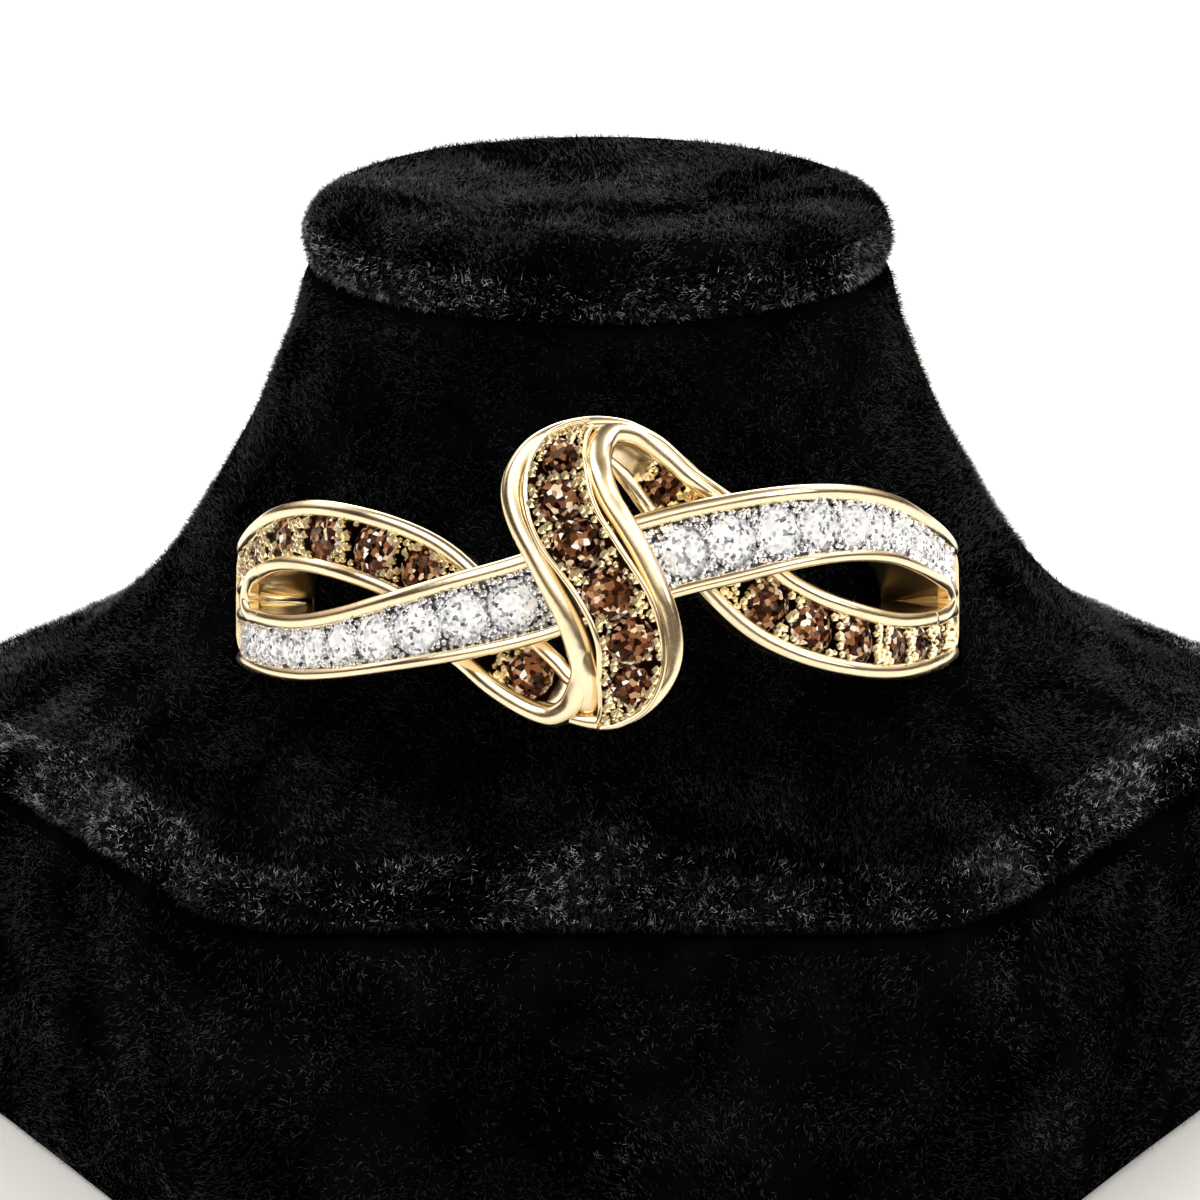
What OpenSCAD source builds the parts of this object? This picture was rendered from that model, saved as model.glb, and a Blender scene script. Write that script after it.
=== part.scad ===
// Bypass knot ring with two stone-set ribbons, held in a plain velvet stand.
// All lengths are in millimetres and all angles in degrees.
// The stand's front faces -Y and its flat underside lies on Z = 0.

/* [Ring] */
// Inner radius of the band
finger_r = 8.25; // [7.5:0.05:9.5]
// Outer radius of the band at its two sides
side_r = 10.5; // [10.2:0.05:10.8]
// Outer radius of the band at the back
back_r = 9.9; // [9.4:0.05:10.4]
// Half of the band's height at its two sides
side_half_w = 1.7; // [1.4:0.05:2]
// Half of the band's height at the back
back_half_w = 1.2; // [1:0.05:1.6]

/* [Ribbons] */
// How much wider a ribbon's foot is than its face at the shoulders, on one side
flare = 0.08; // [0.04:0.01:0.15]
// How much narrower a ribbon's foot is than its face in front, on one side
undercut = 0.26; // [0.1:0.01:0.3]
// Width of the upper rail beside the white stones
white_rail = 0.46; // [0.36:0.01:0.55]
// Width of the lower rail beside the white stones
white_lower_rail = 0.35; // [0.3:0.01:0.5]
// Width of the rails beside the brown stones
brown_rail = 0.47; // [0.36:0.01:0.55]
// Width of the thin rails of the S
s_rail = 0.16; // [0.1:0.01:0.2]
// Depth of the channels that hold the stones
channel_depth = 0.92; // [0.88:0.01:1]

/* [Stones] */
// Least gap between a stone's girdle and the rail beside it
stone_gap = 0.04; // [0.02:0.01:0.08]
// Sides of a stone's girdle, twice the sides of its table
girdle_sides = 16; // [16:4:24]
// Height of the crown over the stone's diameter
crown_share = 0.15; // [0.1:0.01:0.2]
// Height of the pavilion over the stone's diameter
pavilion_share = 0.42; // [0.36:0.01:0.44]
// Width of the table over the stone's diameter
table_share = 0.56; // [0.5:0.01:0.64]

/* [Stand] */
// Width of the six-sided base across its side corners
base_w = 45; // [42:0.5:50]
// Depth of the base from its front side to its back
base_d = 35.4; // [34:0.1:38]
// Length of the base's front side
base_front_w = 20.4; // [18:0.1:22]
// Height of the base up to the bell's seam
base_h = 10.9; // [9:0.1:13]
// Thickness of the bell's foot at its edge
foot_h = 1.4; // [1:0.1:2]
// Height of the seam under the round cap
cap_seam_h = 25.9; // [25.5:0.1:26.5]
// Height of the cap's rim above its seam
cap_h = 2.1; // [1.6:0.1:2.6]
// Gap at the stand's two seams
seam_gap = 0.05; // [0.02:0.01:0.1]
// Space left round the band in the stand's slit
slit_gap = 0.15; // [0.1:0.05:0.4]

/* [Pose] */
// How far the ring's front is tilted up
ring_tilt = 22; // [15:1:28]
// How far the ring's centre lies in front of the stand's axis
ring_forward = 7.5; // [6:0.1:8.5]
// Height of the ring's centre
ring_up = 17.3; // [17:0.1:18]

/* [Hidden] */
// Straight steps between two rows of a ribbon's table
RIBBON_STEPS = 3;
BAR_STEPS = 2;
SHANK_STEPS = 30;
// Angle at which the plain band begins on both sides
BAND_FROM = 83.5;

// Each row of a ribbon's table gives the angle round the band from its front,
// the height, the radius of the rails' tops and half of the ribbon's width.
ANGLE = 0;
HEIGHT = 1;
RADIUS = 2;
HALF = 3;

// The ribbon of white stones runs from the left shoulder to the right one.
WHITE_RIBBON = [
    [-115, -0.72, 9.60, 0.70],
    [-105, -0.80, 10.10, 0.76],
    [-95, -0.86, 10.35, 0.79],
    [-87, -0.94, 10.46, 0.82],
    [-78, -1.09, 10.52, 0.86],
    [-69, -1.33, 10.55, 0.88],
    [-60, -1.56, 10.60, 0.90],
    [-50, -1.70, 10.70, 0.94],
    [-40, -1.64, 10.85, 1.00],
    [-30, -1.41, 11.00, 1.09],
    [-20, -1.07, 10.95, 1.18],
    [-10, -0.62, 10.80, 1.22],
    [0, 0.00, 10.75, 1.22],
    [10, 0.58, 10.80, 1.22],
    [20, 1.03, 10.95, 1.20],
    [30, 1.41, 11.00, 1.13],
    [40, 1.60, 10.85, 1.06],
    [50, 1.57, 10.70, 0.98],
    [60, 1.31, 10.60, 0.92],
    [69, 1.06, 10.55, 0.90],
    [78, 0.88, 10.52, 0.86],
    [87, 0.86, 10.46, 0.82],
    [95, 0.83, 10.35, 0.79],
    [105, 0.78, 10.10, 0.76],
    [115, 0.72, 9.60, 0.70]
];

// The left ribbon of brown stones dips under the white one and ends in the lower loop.
LEFT_RIBBON = [
    [-115, 0.72, 9.60, 0.70],
    [-105, 0.78, 10.10, 0.76],
    [-95, 0.84, 10.35, 0.79],
    [-87, 0.88, 10.46, 0.82],
    [-78, 0.94, 10.52, 0.84],
    [-69, 1.20, 10.50, 0.88],
    [-60, 1.42, 10.48, 0.93],
    [-50, 1.38, 10.42, 1.02],
    [-41, 1.05, 10.25, 1.07],
    [-33, 0.56, 9.98, 1.10],
    [-27, 0.00, 9.85, 1.10],
    [-21, -0.92, 9.85, 1.10],
    [-16, -1.80, 10.00, 1.08],
    [-12, -2.42, 10.20, 1.04],
    [-8, -2.90, 10.35, 0.92],
    [-4.5, -3.22, 10.45, 0.66],
    [-1.5, -3.42, 10.50, 0.40]
];

// The right ribbon of brown stones does the same and ends in the upper loop.
RIGHT_RIBBON = [
    [1.5, 3.45, 10.50, 0.40],
    [4.5, 3.20, 10.45, 0.68],
    [8, 2.80, 10.35, 0.90],
    [11, 2.32, 10.20, 1.00],
    [14, 1.75, 10.05, 1.06],
    [18, 0.95, 9.90, 1.12],
    [23, 0.10, 9.85, 1.14],
    [28, -0.58, 9.88, 1.14],
    [33, -1.02, 10.00, 1.12],
    [39, -1.36, 10.20, 1.08],
    [46, -1.57, 10.38, 1.02],
    [53, -1.62, 10.44, 0.95],
    [60, -1.52, 10.48, 0.90],
    [69, -1.30, 10.50, 0.86],
    [78, -0.98, 10.52, 0.84],
    [87, -0.90, 10.46, 0.82],
    [95, -0.85, 10.35, 0.79],
    [105, -0.79, 10.10, 0.76],
    [115, -0.72, 9.60, 0.70]
];

// The S lies over the middle of the white ribbon and comes to a point at both ends.
S_RIBBON = [
    [-0.8, 4.02, 11.20, 0.12],
    [-2.9, 3.72, 11.30, 0.42],
    [-4.7, 3.20, 11.45, 0.74],
    [-5.4, 2.50, 11.60, 0.90],
    [-5.0, 1.80, 11.75, 0.95],
    [-3.6, 1.10, 11.88, 0.95],
    [-1.7, 0.52, 11.95, 0.92],
    [0, 0, 11.97, 0.90],
    [1.6, -0.52, 11.95, 0.91],
    [3.1, -1.10, 11.88, 0.93],
    [4.2, -1.80, 11.75, 0.93],
    [4.4, -2.50, 11.60, 0.92],
    [3.5, -3.20, 11.45, 0.80],
    [1.9, -3.72, 11.30, 0.48],
    [0.1, -4.04, 11.20, 0.12]
];

// The left bar comes round the lower loop, up the S's left side and over its top,
// and thins to a line along the outside of the upper loop.
LEFT_BAR = [
    [-24, -1.90, 10.10, 0.26],
    [-20.5, -2.32, 10.25, 0.26],
    [-16.5, -2.88, 10.40, 0.26],
    [-12.5, -3.34, 10.50, 0.26],
    [-9, -3.64, 10.60, 0.27],
    [-6.5, -3.72, 10.75, 0.28],
    [-4.2, -3.50, 10.90, 0.30],
    [-2.7, -3.08, 11.10, 0.33],
    [-1.9, -2.55, 11.30, 0.36],
    [-2.6, -1.90, 11.50, 0.36],
    [-4.2, -1.10, 11.70, 0.33],
    [-6.3, -0.30, 11.80, 0.31],
    [-8.6, 0.60, 11.80, 0.31],
    [-10.6, 1.40, 11.70, 0.31],
    [-11.5, 2.10, 11.60, 0.31],
    [-11, 2.75, 11.50, 0.30],
    [-9, 3.35, 11.40, 0.27],
    [-6, 3.75, 11.25, 0.24],
    [-2.5, 3.98, 11.12, 0.20],
    [1, 4.04, 11.00, 0.18],
    [4.5, 3.97, 10.85, 0.14],
    [8.8, 3.67, 10.62, 0.10],
    [11.7, 3.28, 10.50, 0.09],
    [14.6, 2.83, 10.42, 0.09],
    [20, 2.26, 10.25, 0.09],
    [24.5, 1.88, 10.10, 0.09]
];

// The left bar's inner half turns under at the S's foot.
LEFT_TURN = [
    [-2, -2.10, 11.42, 0.28],
    [-1.2, -2.75, 11.28, 0.28],
    [-1.3, -3.20, 11.05, 0.28],
    [-1.5, -3.55, 10.80, 0.28],
    [-1.8, -3.80, 10.45, 0.26]
];

// The right bar comes round the upper loop, down the S's right side and under its foot.
RIGHT_BAR = [
    [24, 1.65, 10.10, 0.22],
    [19.4, 2.03, 10.27, 0.22],
    [13.9, 2.61, 10.50, 0.22],
    [10.8, 3.07, 10.60, 0.23],
    [8, 3.46, 10.70, 0.26],
    [5.4, 3.77, 10.83, 0.30],
    [2.6, 3.84, 11.00, 0.34],
    [0.7, 3.55, 11.20, 0.37],
    [0, 3.08, 11.40, 0.38],
    [0.4, 2.55, 11.60, 0.35],
    [1.5, 1.95, 11.70, 0.33],
    [3.2, 1.38, 11.78, 0.32],
    [4.9, 0.80, 11.82, 0.31],
    [6.6, 0.15, 11.82, 0.31],
    [8.2, -0.55, 11.80, 0.30],
    [9.5, -1.25, 11.70, 0.29],
    [10.1, -1.90, 11.60, 0.28],
    [9.9, -2.45, 11.50, 0.26],
    [8.8, -2.98, 11.40, 0.24],
    [7, -3.42, 11.25, 0.22],
    [4.8, -3.74, 11.10, 0.20],
    [2.4, -3.90, 11.00, 0.18],
    [-0.5, -3.92, 10.80, 0.18],
    [-4, -3.80, 10.60, 0.14]
];

// The rims run round the ends of the two gaps, from the rail above to the rail below.
LEFT_RIM = [
    [-66, 0.62, 10.52, 0.22],
    [-70.5, 0.50, 10.54, 0.23],
    [-73.6, 0.24, 10.55, 0.25],
    [-74.8, -0.08, 10.55, 0.26],
    [-73.6, -0.40, 10.55, 0.25],
    [-70.5, -0.64, 10.55, 0.23],
    [-66, -0.74, 10.56, 0.22]
];
RIGHT_RIM = [
    [66, 0.42, 10.56, 0.17],
    [71, 0.33, 10.55, 0.19],
    [75, 0.13, 10.54, 0.23],
    [76.5, -0.11, 10.54, 0.24],
    [75, -0.37, 10.54, 0.23],
    [71, -0.62, 10.53, 0.22],
    [66, -0.75, 10.52, 0.22]
];

// The forks, where a pair of ribbons leaves the band. Each row gives a distance from the finger's
// axis and how far the gold reaches forward there, in the middle of the gap and at its edges.
FORK_R = 0;
FORK_DEEP = 1;
FORK_EDGE = 2;
FORK = [[8.3, -0.6, -0.2], [8.5, -0.35, 0.05], [9.4, -0.05, 0.35], [10, 0.25, 0.7], [10.4, 0.25, 0.7]];
// Angle round the band that a fork is measured from
FORK_AT = 77;
// Middle heights of the left and the right gap
LEFT_FORK_UP = -0.08;
RIGHT_FORK_UP = -0.12;
// Half of a fork's height, and how far it reaches back into the band
FORK_HALF = 0.55;
FORK_BACK = 1.35;

// White stones from the S outwards: angle along the ribbon and diameter.
WHITE_STONES = [
    [12.5, 1.30], [19.7, 1.30], [26.9, 1.28], [34, 1.26], [40.9, 1.20],
    [47.4, 1.12], [53.4, 1.02], [58.9, 0.96], [64.2, 0.92], [69.3, 0.88]
];

// Brown stones of the left and right ribbons, from left to right: angle and diameter.
LEFT_STONES = [[-74.5, 0.66], [-68, 0.86], [-58, 0.96], [-47.8, 1.08], [-38.3, 1.14], [-30, 1.00]];
RIGHT_STONES = [[28.5, 1.12], [36.5, 1.14], [44.8, 1.08], [53.5, 0.96], [61.5, 0.86], [68.5, 0.74]];
// The one stone in each loop, lower and upper: angle, height, radius of its table and diameter.
LOOP_STONES = [[-10.5, -2.60, 10.15, 1.00], [10.1, 2.34, 10.02, 0.80]];
// Brown stones of the S from its top down: angle, height and diameter.
S_STONES = [[-5, 3.06, 1], [-5.2, 1.92, 1.18], [-2.6, 0.72, 1.34],
            [1.4, -0.57, 1.34], [4.3, -1.78, 1.22], [4.3, -2.96, 1.08]];

// Rail widths of each kind of ribbon: the upper rail and the lower one
WHITE_RAILS = [white_rail, white_lower_rail];
BROWN_RAILS = [brown_rail, brown_rail];
S_RAILS = [s_rail, s_rail];

// The bell's outline above its foot: radius and height
BELL_R = 0;
BELL_UP = 1;
BELL = [
    [19, 0], [17.4, 0.4], [15.9, 1.4], [14.2, 3], [12.7, 4.9], [11.5, 6.9], [10.5, 8.7],
    [9.75, 10.4], [9.2, 11.8], [8.95, 12.8]
];
BELL_TOP_R = 8.75;

// The cap's outline: radius and share of its height
CAP_R = 0;
CAP_UP = 1;
CAP = [
    [8.55, 0], [8.78, 0.2], [8.85, 0.4], [8.75, 0.62], [8.45, 0.82], [7.9, 0.96], [7.2, 1],
    [6, 0.97], [4, 0.9], [0, 0.86]
];

// How far the six-sided outline's corners are eased
CORNER_EASE = 2.4;

// Thickness of the ribbons at the front, of the knot's bars and of the rims
RIBBON_THICK = 1.35;
BAR_THICK = 1.28;
RIM_THICK = 0.5;
// Radius of the ribbons' undersides where they join the band
JOIN_FOOT = 8.35;
// Angles between which the ribbons thicken towards the band
THICKEN_FROM = 50;
THICKEN_TO = 80;
// Angle at which the channels have faded out
CHANNEL_END = 84;
// Bevel on a rail's outer edge, and on its edge beside the stones
BEVEL = 0.14;
LIP = 0.05;
// How far the band's inner edges are eased
BAND_EASE = 0.25;
// Power of the band's section, at the sides and at the back: the smaller, the squarer
SIDE_POWER = 0.3;
BACK_POWER = 0.7;
// How much taller than the band its shoulders are, on one side
SHOULDER_RISE = 0.3;
// Height of a stone's girdle over its diameter
BELT_SHARE = 0.03;
// How far a stone's table lies under the rails' tops
WHITE_SINK = 0.03;
BROWN_SINK = 0.08;

BROWN_ALL = concat(
    [for (s = LEFT_STONES) stone_on(LEFT_RIBBON, s, BROWN_RAILS, BROWN_SINK)],
    LOOP_STONES,
    [for (s = RIGHT_STONES) stone_on(RIGHT_RIBBON, s, BROWN_RAILS, BROWN_SINK)],
    [for (s = S_STONES) [s[0], s[1], s_radius(s[1]) - BROWN_SINK, s[2]]]
);
WHITE_ALL = concat(
    [for (s = WHITE_STONES) stone_on(WHITE_RIBBON, [-s[0], s[1]], WHITE_RAILS, WHITE_SINK)],
    [for (s = WHITE_STONES) stone_on(WHITE_RIBBON, s, WHITE_RAILS, WHITE_SINK)]
);

function two_digits(n) = n < 10 ? str("0", n) : str(n);
function white_name(i) = str("white_stone_", two_digits(i + 1));
function brown_name(i) = str("brown_stone_", two_digits(i + 1));

// A smooth curve through the rows of a table, with n steps between two rows
function blend(p0, p1, p2, p3, t) =
    0.5 * (2 * p1 + (p2 - p0) * t + (2 * p0 - 5 * p1 + 4 * p2 - p3) * t * t
        + (3 * p1 - p0 - 3 * p2 + p3) * t * t * t);
function row(table, i) = table[max(0, min(i, len(table) - 1))];
function smooth(table, n) = [
    for (i = [0 : len(table) - 2], k = [0 : n - 1])
        blend(row(table, i - 1), row(table, i), row(table, i + 1), row(table, i + 2), k / n),
    table[len(table) - 1]
];

// The row of a table at one angle, for tables whose angles only grow
function row_at(table, angle) =
    let (i = max([for (k = [0 : len(table) - 2]) if (table[k][ANGLE] <= angle) k]),
         t = (angle - table[i][ANGLE]) / (table[i + 1][ANGLE] - table[i][ANGLE]))
    blend(row(table, i - 1), row(table, i), row(table, i + 1), row(table, i + 2), t);
// A stone in a ribbon's channel, made smaller where the channel has no room for it
function rail_at(r, rail) = min(rail, 0.62 * r[HALF]);
function stone_on(table, stone, rails, sink) =
    let (r = row_at(table, stone[0]),
         upper = rail_at(r, rails[0]),
         lower = rail_at(r, rails[1]),
         room = 2 * r[HALF] - upper - lower - 2 * stone_gap)
    [stone[0], r[HEIGHT] + (lower - upper) / 2, r[RADIUS] - sink, min(stone[1], room)];

function s_radius(z) =
    lookup(z, [for (i = [len(S_RIBBON) - 1 : -1 : 0]) [S_RIBBON[i][HEIGHT], S_RIBBON[i][RADIUS]]]);

// Places round the band
function out(angle) = [sin(angle), -cos(angle), 0];
function place(r) = r[RADIUS] * out(r[ANGLE]) + [0, 0, r[HEIGHT]];
function unit(v) = v / norm(v);

// Channel section: foot, flared side, rail and floor. The channel fades out at the shoulders.
function channel_depth_at(angle) =
    channel_depth * max(0.02, min(1, (CHANNEL_END - abs(angle)) / 5));
function half_channel(half, rail, depth, foot, side) = [
    [half + side, foot],
    [half, -BEVEL],
    [half - BEVEL, 0],
    [half - rail + LIP, 0],
    [half - rail, -min(LIP, depth)],
    [half - rail, -depth]
];
function mirrored(pts) = [for (i = [len(pts) - 1 : -1 : 0]) [-pts[i][0], pts[i][1]]];
function ease(t) = let (c = max(0, min(1, t))) c * c * (3 - 2 * c);
function join_share(r) = ease((abs(r[ANGLE]) - THICKEN_FROM) / (THICKEN_TO - THICKEN_FROM));
function foot_at(r) = -RIBBON_THICK - (r[RADIUS] - JOIN_FOOT - RIBBON_THICK) * join_share(r);
function side_at(r) = -min(undercut, 0.4 * r[HALF]) * (1 - join_share(r)) + flare * join_share(r);
function channel_half(r, rail) =
    half_channel(r[HALF], rail_at(r, rail), channel_depth_at(r[ANGLE]), foot_at(r), side_at(r));
function channel_section(r, rails) =
    concat(channel_half(r, rails[0]), mirrored(channel_half(r, rails[1])));

// Bar section: a round top on straight sides
function bar_section(r, thick) = concat(
    [[r[HALF], -thick]],
    [for (a = [0 : 30 : 180]) [r[HALF] * cos(a), 0.8 * r[HALF] * (sin(a) - 1)]],
    [[-r[HALF], -thick]]
);

// Band section: flat inside with eased edges and rounded outside
function band_section(half, thick, power) = concat(
    [[-half + BAND_EASE, 0], [half - BAND_EASE, 0]],
    [for (a = [0 : 22.5 : 180])
        [half * sign(cos(a)) * pow(abs(cos(a)), power),
         BAND_EASE + (thick - BAND_EASE) * pow(sin(a), power)]]
);

// A closed solid through sections: stations are [place, outward, across]
function station(rows, i) =
    let (ahead = place(rows[min(i + 1, len(rows) - 1)]),
         behind = place(rows[max(i - 1, 0)]),
         n = out(rows[i][ANGLE]))
    [place(rows[i]), n, unit(cross(n, unit(ahead - behind)))];
module loft(stations, sections) {
    m = len(sections[0]);
    n = len(stations);
    points = [for (i = [0 : n - 1], p = sections[i])
        stations[i][0] + stations[i][2] * p[0] + stations[i][1] * p[1]];
    sides = [for (i = [0 : n - 2], k = [0 : m - 1])
        [i * m + k, (i + 1) * m + k, (i + 1) * m + (k + 1) % m, i * m + (k + 1) % m]];
    first = [[for (k = [0 : m - 1]) k]];
    last = [[for (k = [m - 1 : -1 : 0]) (n - 1) * m + k]];
    polyhedron(points, concat(sides, first, last), convexity = 8);
}

module ribbon(table, rails) {
    rows = smooth(table, RIBBON_STEPS);
    loft([for (i = [0 : len(rows) - 1]) station(rows, i)],
         [for (r = rows) channel_section(r, rails)]);
}

module bar(table, thick = BAR_THICK) {
    rows = smooth(table, BAR_STEPS);
    loft([for (i = [0 : len(rows) - 1]) station(rows, i)],
         [for (r = rows) bar_section(r, thick)]);
}

// The plain band from shoulder to shoulder round the back
module band() {
    turns = [for (i = [0 : SHANK_STEPS]) BAND_FROM + (360 - 2 * BAND_FROM) * i / SHANK_STEPS];
    backness = [for (a = turns) pow(max(0, -cos(a)), 1.2)];
    loft([for (a = turns) [finger_r * out(a), out(a), [0, 0, 1]]],
         [for (b = backness) band_section(side_half_w + (back_half_w - side_half_w) * b,
             side_r + (back_r - side_r) * b - finger_r,
             SIDE_POWER + (BACK_POWER - SIDE_POWER) * b)]);
}

// The gold between two ribbons where they part, with a creased hollow end towards the front
function fork_section(row) = concat(
    [[-FORK_HALF, -FORK_BACK], [FORK_HALF, -FORK_BACK]],
    [for (s = [1 : -0.2 : -1.01])
        [FORK_HALF * s, row[FORK_DEEP] + (row[FORK_EDGE] - row[FORK_DEEP]) * pow(abs(s), 1.6)]]
);
module fork(up) {
    forward = -[cos(FORK_AT), sin(FORK_AT), 0];
    loft([for (row = FORK) [row[FORK_R] * out(FORK_AT) + [0, 0, up], forward, [0, 0, 1]]],
         [for (row = FORK) fork_section(row)]);
}

// The ring stands upright on its finger axis here and is placed in the stand by pose()
module pose() {
    translate([0, -ring_forward, ring_up]) rotate([-ring_tilt, 0, 0]) children();
}

// All the gold as one casting, exactly two side radii wide
module ring_metal() {
    resize([2 * side_r, 0, 0]) union() {
        band();
        ribbon(WHITE_RIBBON, WHITE_RAILS);
        ribbon(LEFT_RIBBON, BROWN_RAILS);
        ribbon(RIGHT_RIBBON, BROWN_RAILS);
        ribbon(S_RIBBON, S_RAILS);
        bar(LEFT_BAR);
        bar(LEFT_TURN);
        bar(RIGHT_BAR);
        bar(LEFT_RIM, RIM_THICK);
        bar(RIGHT_RIM, RIM_THICK);
        mirror([1, 0, 0]) fork(LEFT_FORK_UP);
        fork(RIGHT_FORK_UP);
    }
}

module ring_body() color("gold") pose() ring_metal();

// A round stone with a table, a faceted crown, a girdle and a pointed pavilion
module brilliant(d) {
    half = girdle_sides / 2;
    crown = crown_share * d;
    belt = BELT_SHARE * d;
    function round_row(n, r, z) =
        [for (i = [0 : n - 1]) [r * cos(i * 360 / n), r * sin(i * 360 / n), z]];
    points = concat(
        round_row(half, table_share * d / 2, 0),
        round_row(girdle_sides, d / 2, -crown),
        round_row(girdle_sides, d / 2, -crown - belt),
        [[0, 0, -crown - belt - pavilion_share * d]]
    );
    upper = half;
    lower = half + girdle_sides;
    tip = half + 2 * girdle_sides;
    table_face = [[for (i = [half - 1 : -1 : 0]) i]];
    mains = [for (i = [0 : half - 1]) [i, (i + 1) % half, upper + 2 * i + 1]];
    stars = [for (i = [0 : half - 1], s = [-1, 1]) s > 0
        ? [i, upper + 2 * i + 1, upper + 2 * i]
        : [i, upper + 2 * i, upper + (2 * i - 1 + girdle_sides) % girdle_sides]];
    belt_faces = [for (i = [0 : girdle_sides - 1])
        [upper + i, upper + (i + 1) % girdle_sides, lower + (i + 1) % girdle_sides, lower + i]];
    pavilion = [for (i = [0 : girdle_sides - 1]) [lower + i, lower + (i + 1) % girdle_sides, tip]];
    polyhedron(points, concat(table_face, mains, stars, belt_faces, pavilion), convexity = 2);
}

// A stone set on the band: [angle, height, radius of its table, diameter]
module set_stone(s) {
    pose() translate(s[2] * out(s[0]) + [0, 0, s[1]])
        rotate([0, 0, s[0]]) rotate([90, 0, 0]) brilliant(s[3]);
}

module white_stone(i) color("white") set_stone(WHITE_ALL[i]);
module brown_stone(i) color("saddlebrown") set_stone(BROWN_ALL[i]);

// The six-sided outline of the base and of the bell's foot, with eased corners
function eased(before, corner, after) =
    let (a = corner + CORNER_EASE * unit(before - corner), b = corner + CORNER_EASE * unit(after - corner))
    [for (t = [0 : 0.25 : 1]) (1 - t) * (1 - t) * a + 2 * t * (1 - t) * corner + t * t * b];
module six_sides() {
    x = base_front_w / 2;
    y = base_d / 2;
    corners = [[x, -y], [base_w / 2, 0], [x, y], [-x, y], [-base_w / 2, 0], [-x, -y]];
    polygon([for (i = [0 : 5]) each eased(corners[(i + 5) % 6], corners[i], corners[(i + 1) % 6])]);
}

module stand_base() color("#141416") linear_extrude(base_h) six_sides();

// The bell: a foot over the whole base that sweeps up to the neck under the cap
module stand_bell() color("#161618") difference() {
    intersection() {
        rotate_extrude($fn = 96) polygon(concat(
            [[0, base_h + seam_gap], [base_w, base_h + seam_gap], [base_w, base_h + foot_h]],
            [for (r = BELL) [r[BELL_R], base_h + foot_h + r[BELL_UP]]],
            [[BELL_TOP_R, cap_seam_h - seam_gap], [0, cap_seam_h - seam_gap]]
        ));
        linear_extrude(cap_seam_h) six_sides();
    }
    pose() slit();
}

// The round cap: a low cushion with a full rim and a slight dip in its top
module stand_cap() color("#18181a") rotate_extrude($fn = 96) polygon(concat(
    [[0, cap_seam_h]],
    [for (r = CAP) [r[CAP_R], cap_seam_h + r[CAP_UP] * cap_h]]
));

// Room for the back of the band: a ring-shaped slot in the bell's front
module slit() {
    rotate_extrude($fn = 96)
        translate([finger_r - slit_gap, -side_half_w - SHOULDER_RISE - slit_gap])
        square([side_r - finger_r + 2 * slit_gap, 2 * (side_half_w + SHOULDER_RISE + slit_gap)]);
}

ring_body();
stand_base();
stand_bell();
stand_cap();
for (i = [0 : len(WHITE_ALL) - 1]) white_stone(i);
for (i = [0 : len(BROWN_ALL) - 1]) brown_stone(i);
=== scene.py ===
# Bypass knot ring set with white and brown stones, held in the slit of a black velvet stand.
# The tables and sizes below are in millimetres, and MM turns them to the scene's metres.
import math

import bmesh
import bpy
import numpy as np
from mathutils import Matrix, Vector, noise


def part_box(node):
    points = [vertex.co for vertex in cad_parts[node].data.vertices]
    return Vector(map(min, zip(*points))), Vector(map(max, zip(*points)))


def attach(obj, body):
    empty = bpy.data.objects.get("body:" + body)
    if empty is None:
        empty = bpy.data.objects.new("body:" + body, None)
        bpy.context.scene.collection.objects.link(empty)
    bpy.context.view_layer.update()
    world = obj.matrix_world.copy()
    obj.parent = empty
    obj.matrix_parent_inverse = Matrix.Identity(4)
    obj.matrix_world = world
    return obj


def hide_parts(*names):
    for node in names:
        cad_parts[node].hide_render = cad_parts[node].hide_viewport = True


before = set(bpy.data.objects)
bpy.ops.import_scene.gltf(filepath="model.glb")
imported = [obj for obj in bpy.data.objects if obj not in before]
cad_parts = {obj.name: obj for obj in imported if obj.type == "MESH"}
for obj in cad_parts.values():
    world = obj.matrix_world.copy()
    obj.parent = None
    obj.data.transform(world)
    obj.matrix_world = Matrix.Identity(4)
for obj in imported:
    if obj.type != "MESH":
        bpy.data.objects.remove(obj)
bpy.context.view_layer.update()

# The block at the foot of the stand. It is board with six upright sides, covered with short cotton
# velvet that is drawn tight over eased corners and glued underneath, so its edges are soft.
MM = 0.001
block_high = np.array(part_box("stand_base")[1]) / MM
# Width between the two sharp side corners, and length of the front side
BLOCK_WIDE = 45
FRONT_SIDE = 20.4
CORNER_EASE = 2.4
EDGE_ROUND = 0.45
SIDE_ROWS = 22
OUTLINE_POINTS = 320
# How far in the flat undersides and tops end in a single face
UNDERSIDE_INSET = 4.0
TOP_INSET = 1.4
# The three covers are glued together inside their seams, so each swells up by this much there
GLUED_RISE = 0.12
# How far the cloth lies off its board, and how wide such a swelling is
CLOTH_SWELL = 0.05
SWELL_WIDE = 3.5


def unit(v):
    """Vectors brought to a length of 1."""
    return v / np.linalg.norm(v, axis=-1, keepdims=True)


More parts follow.
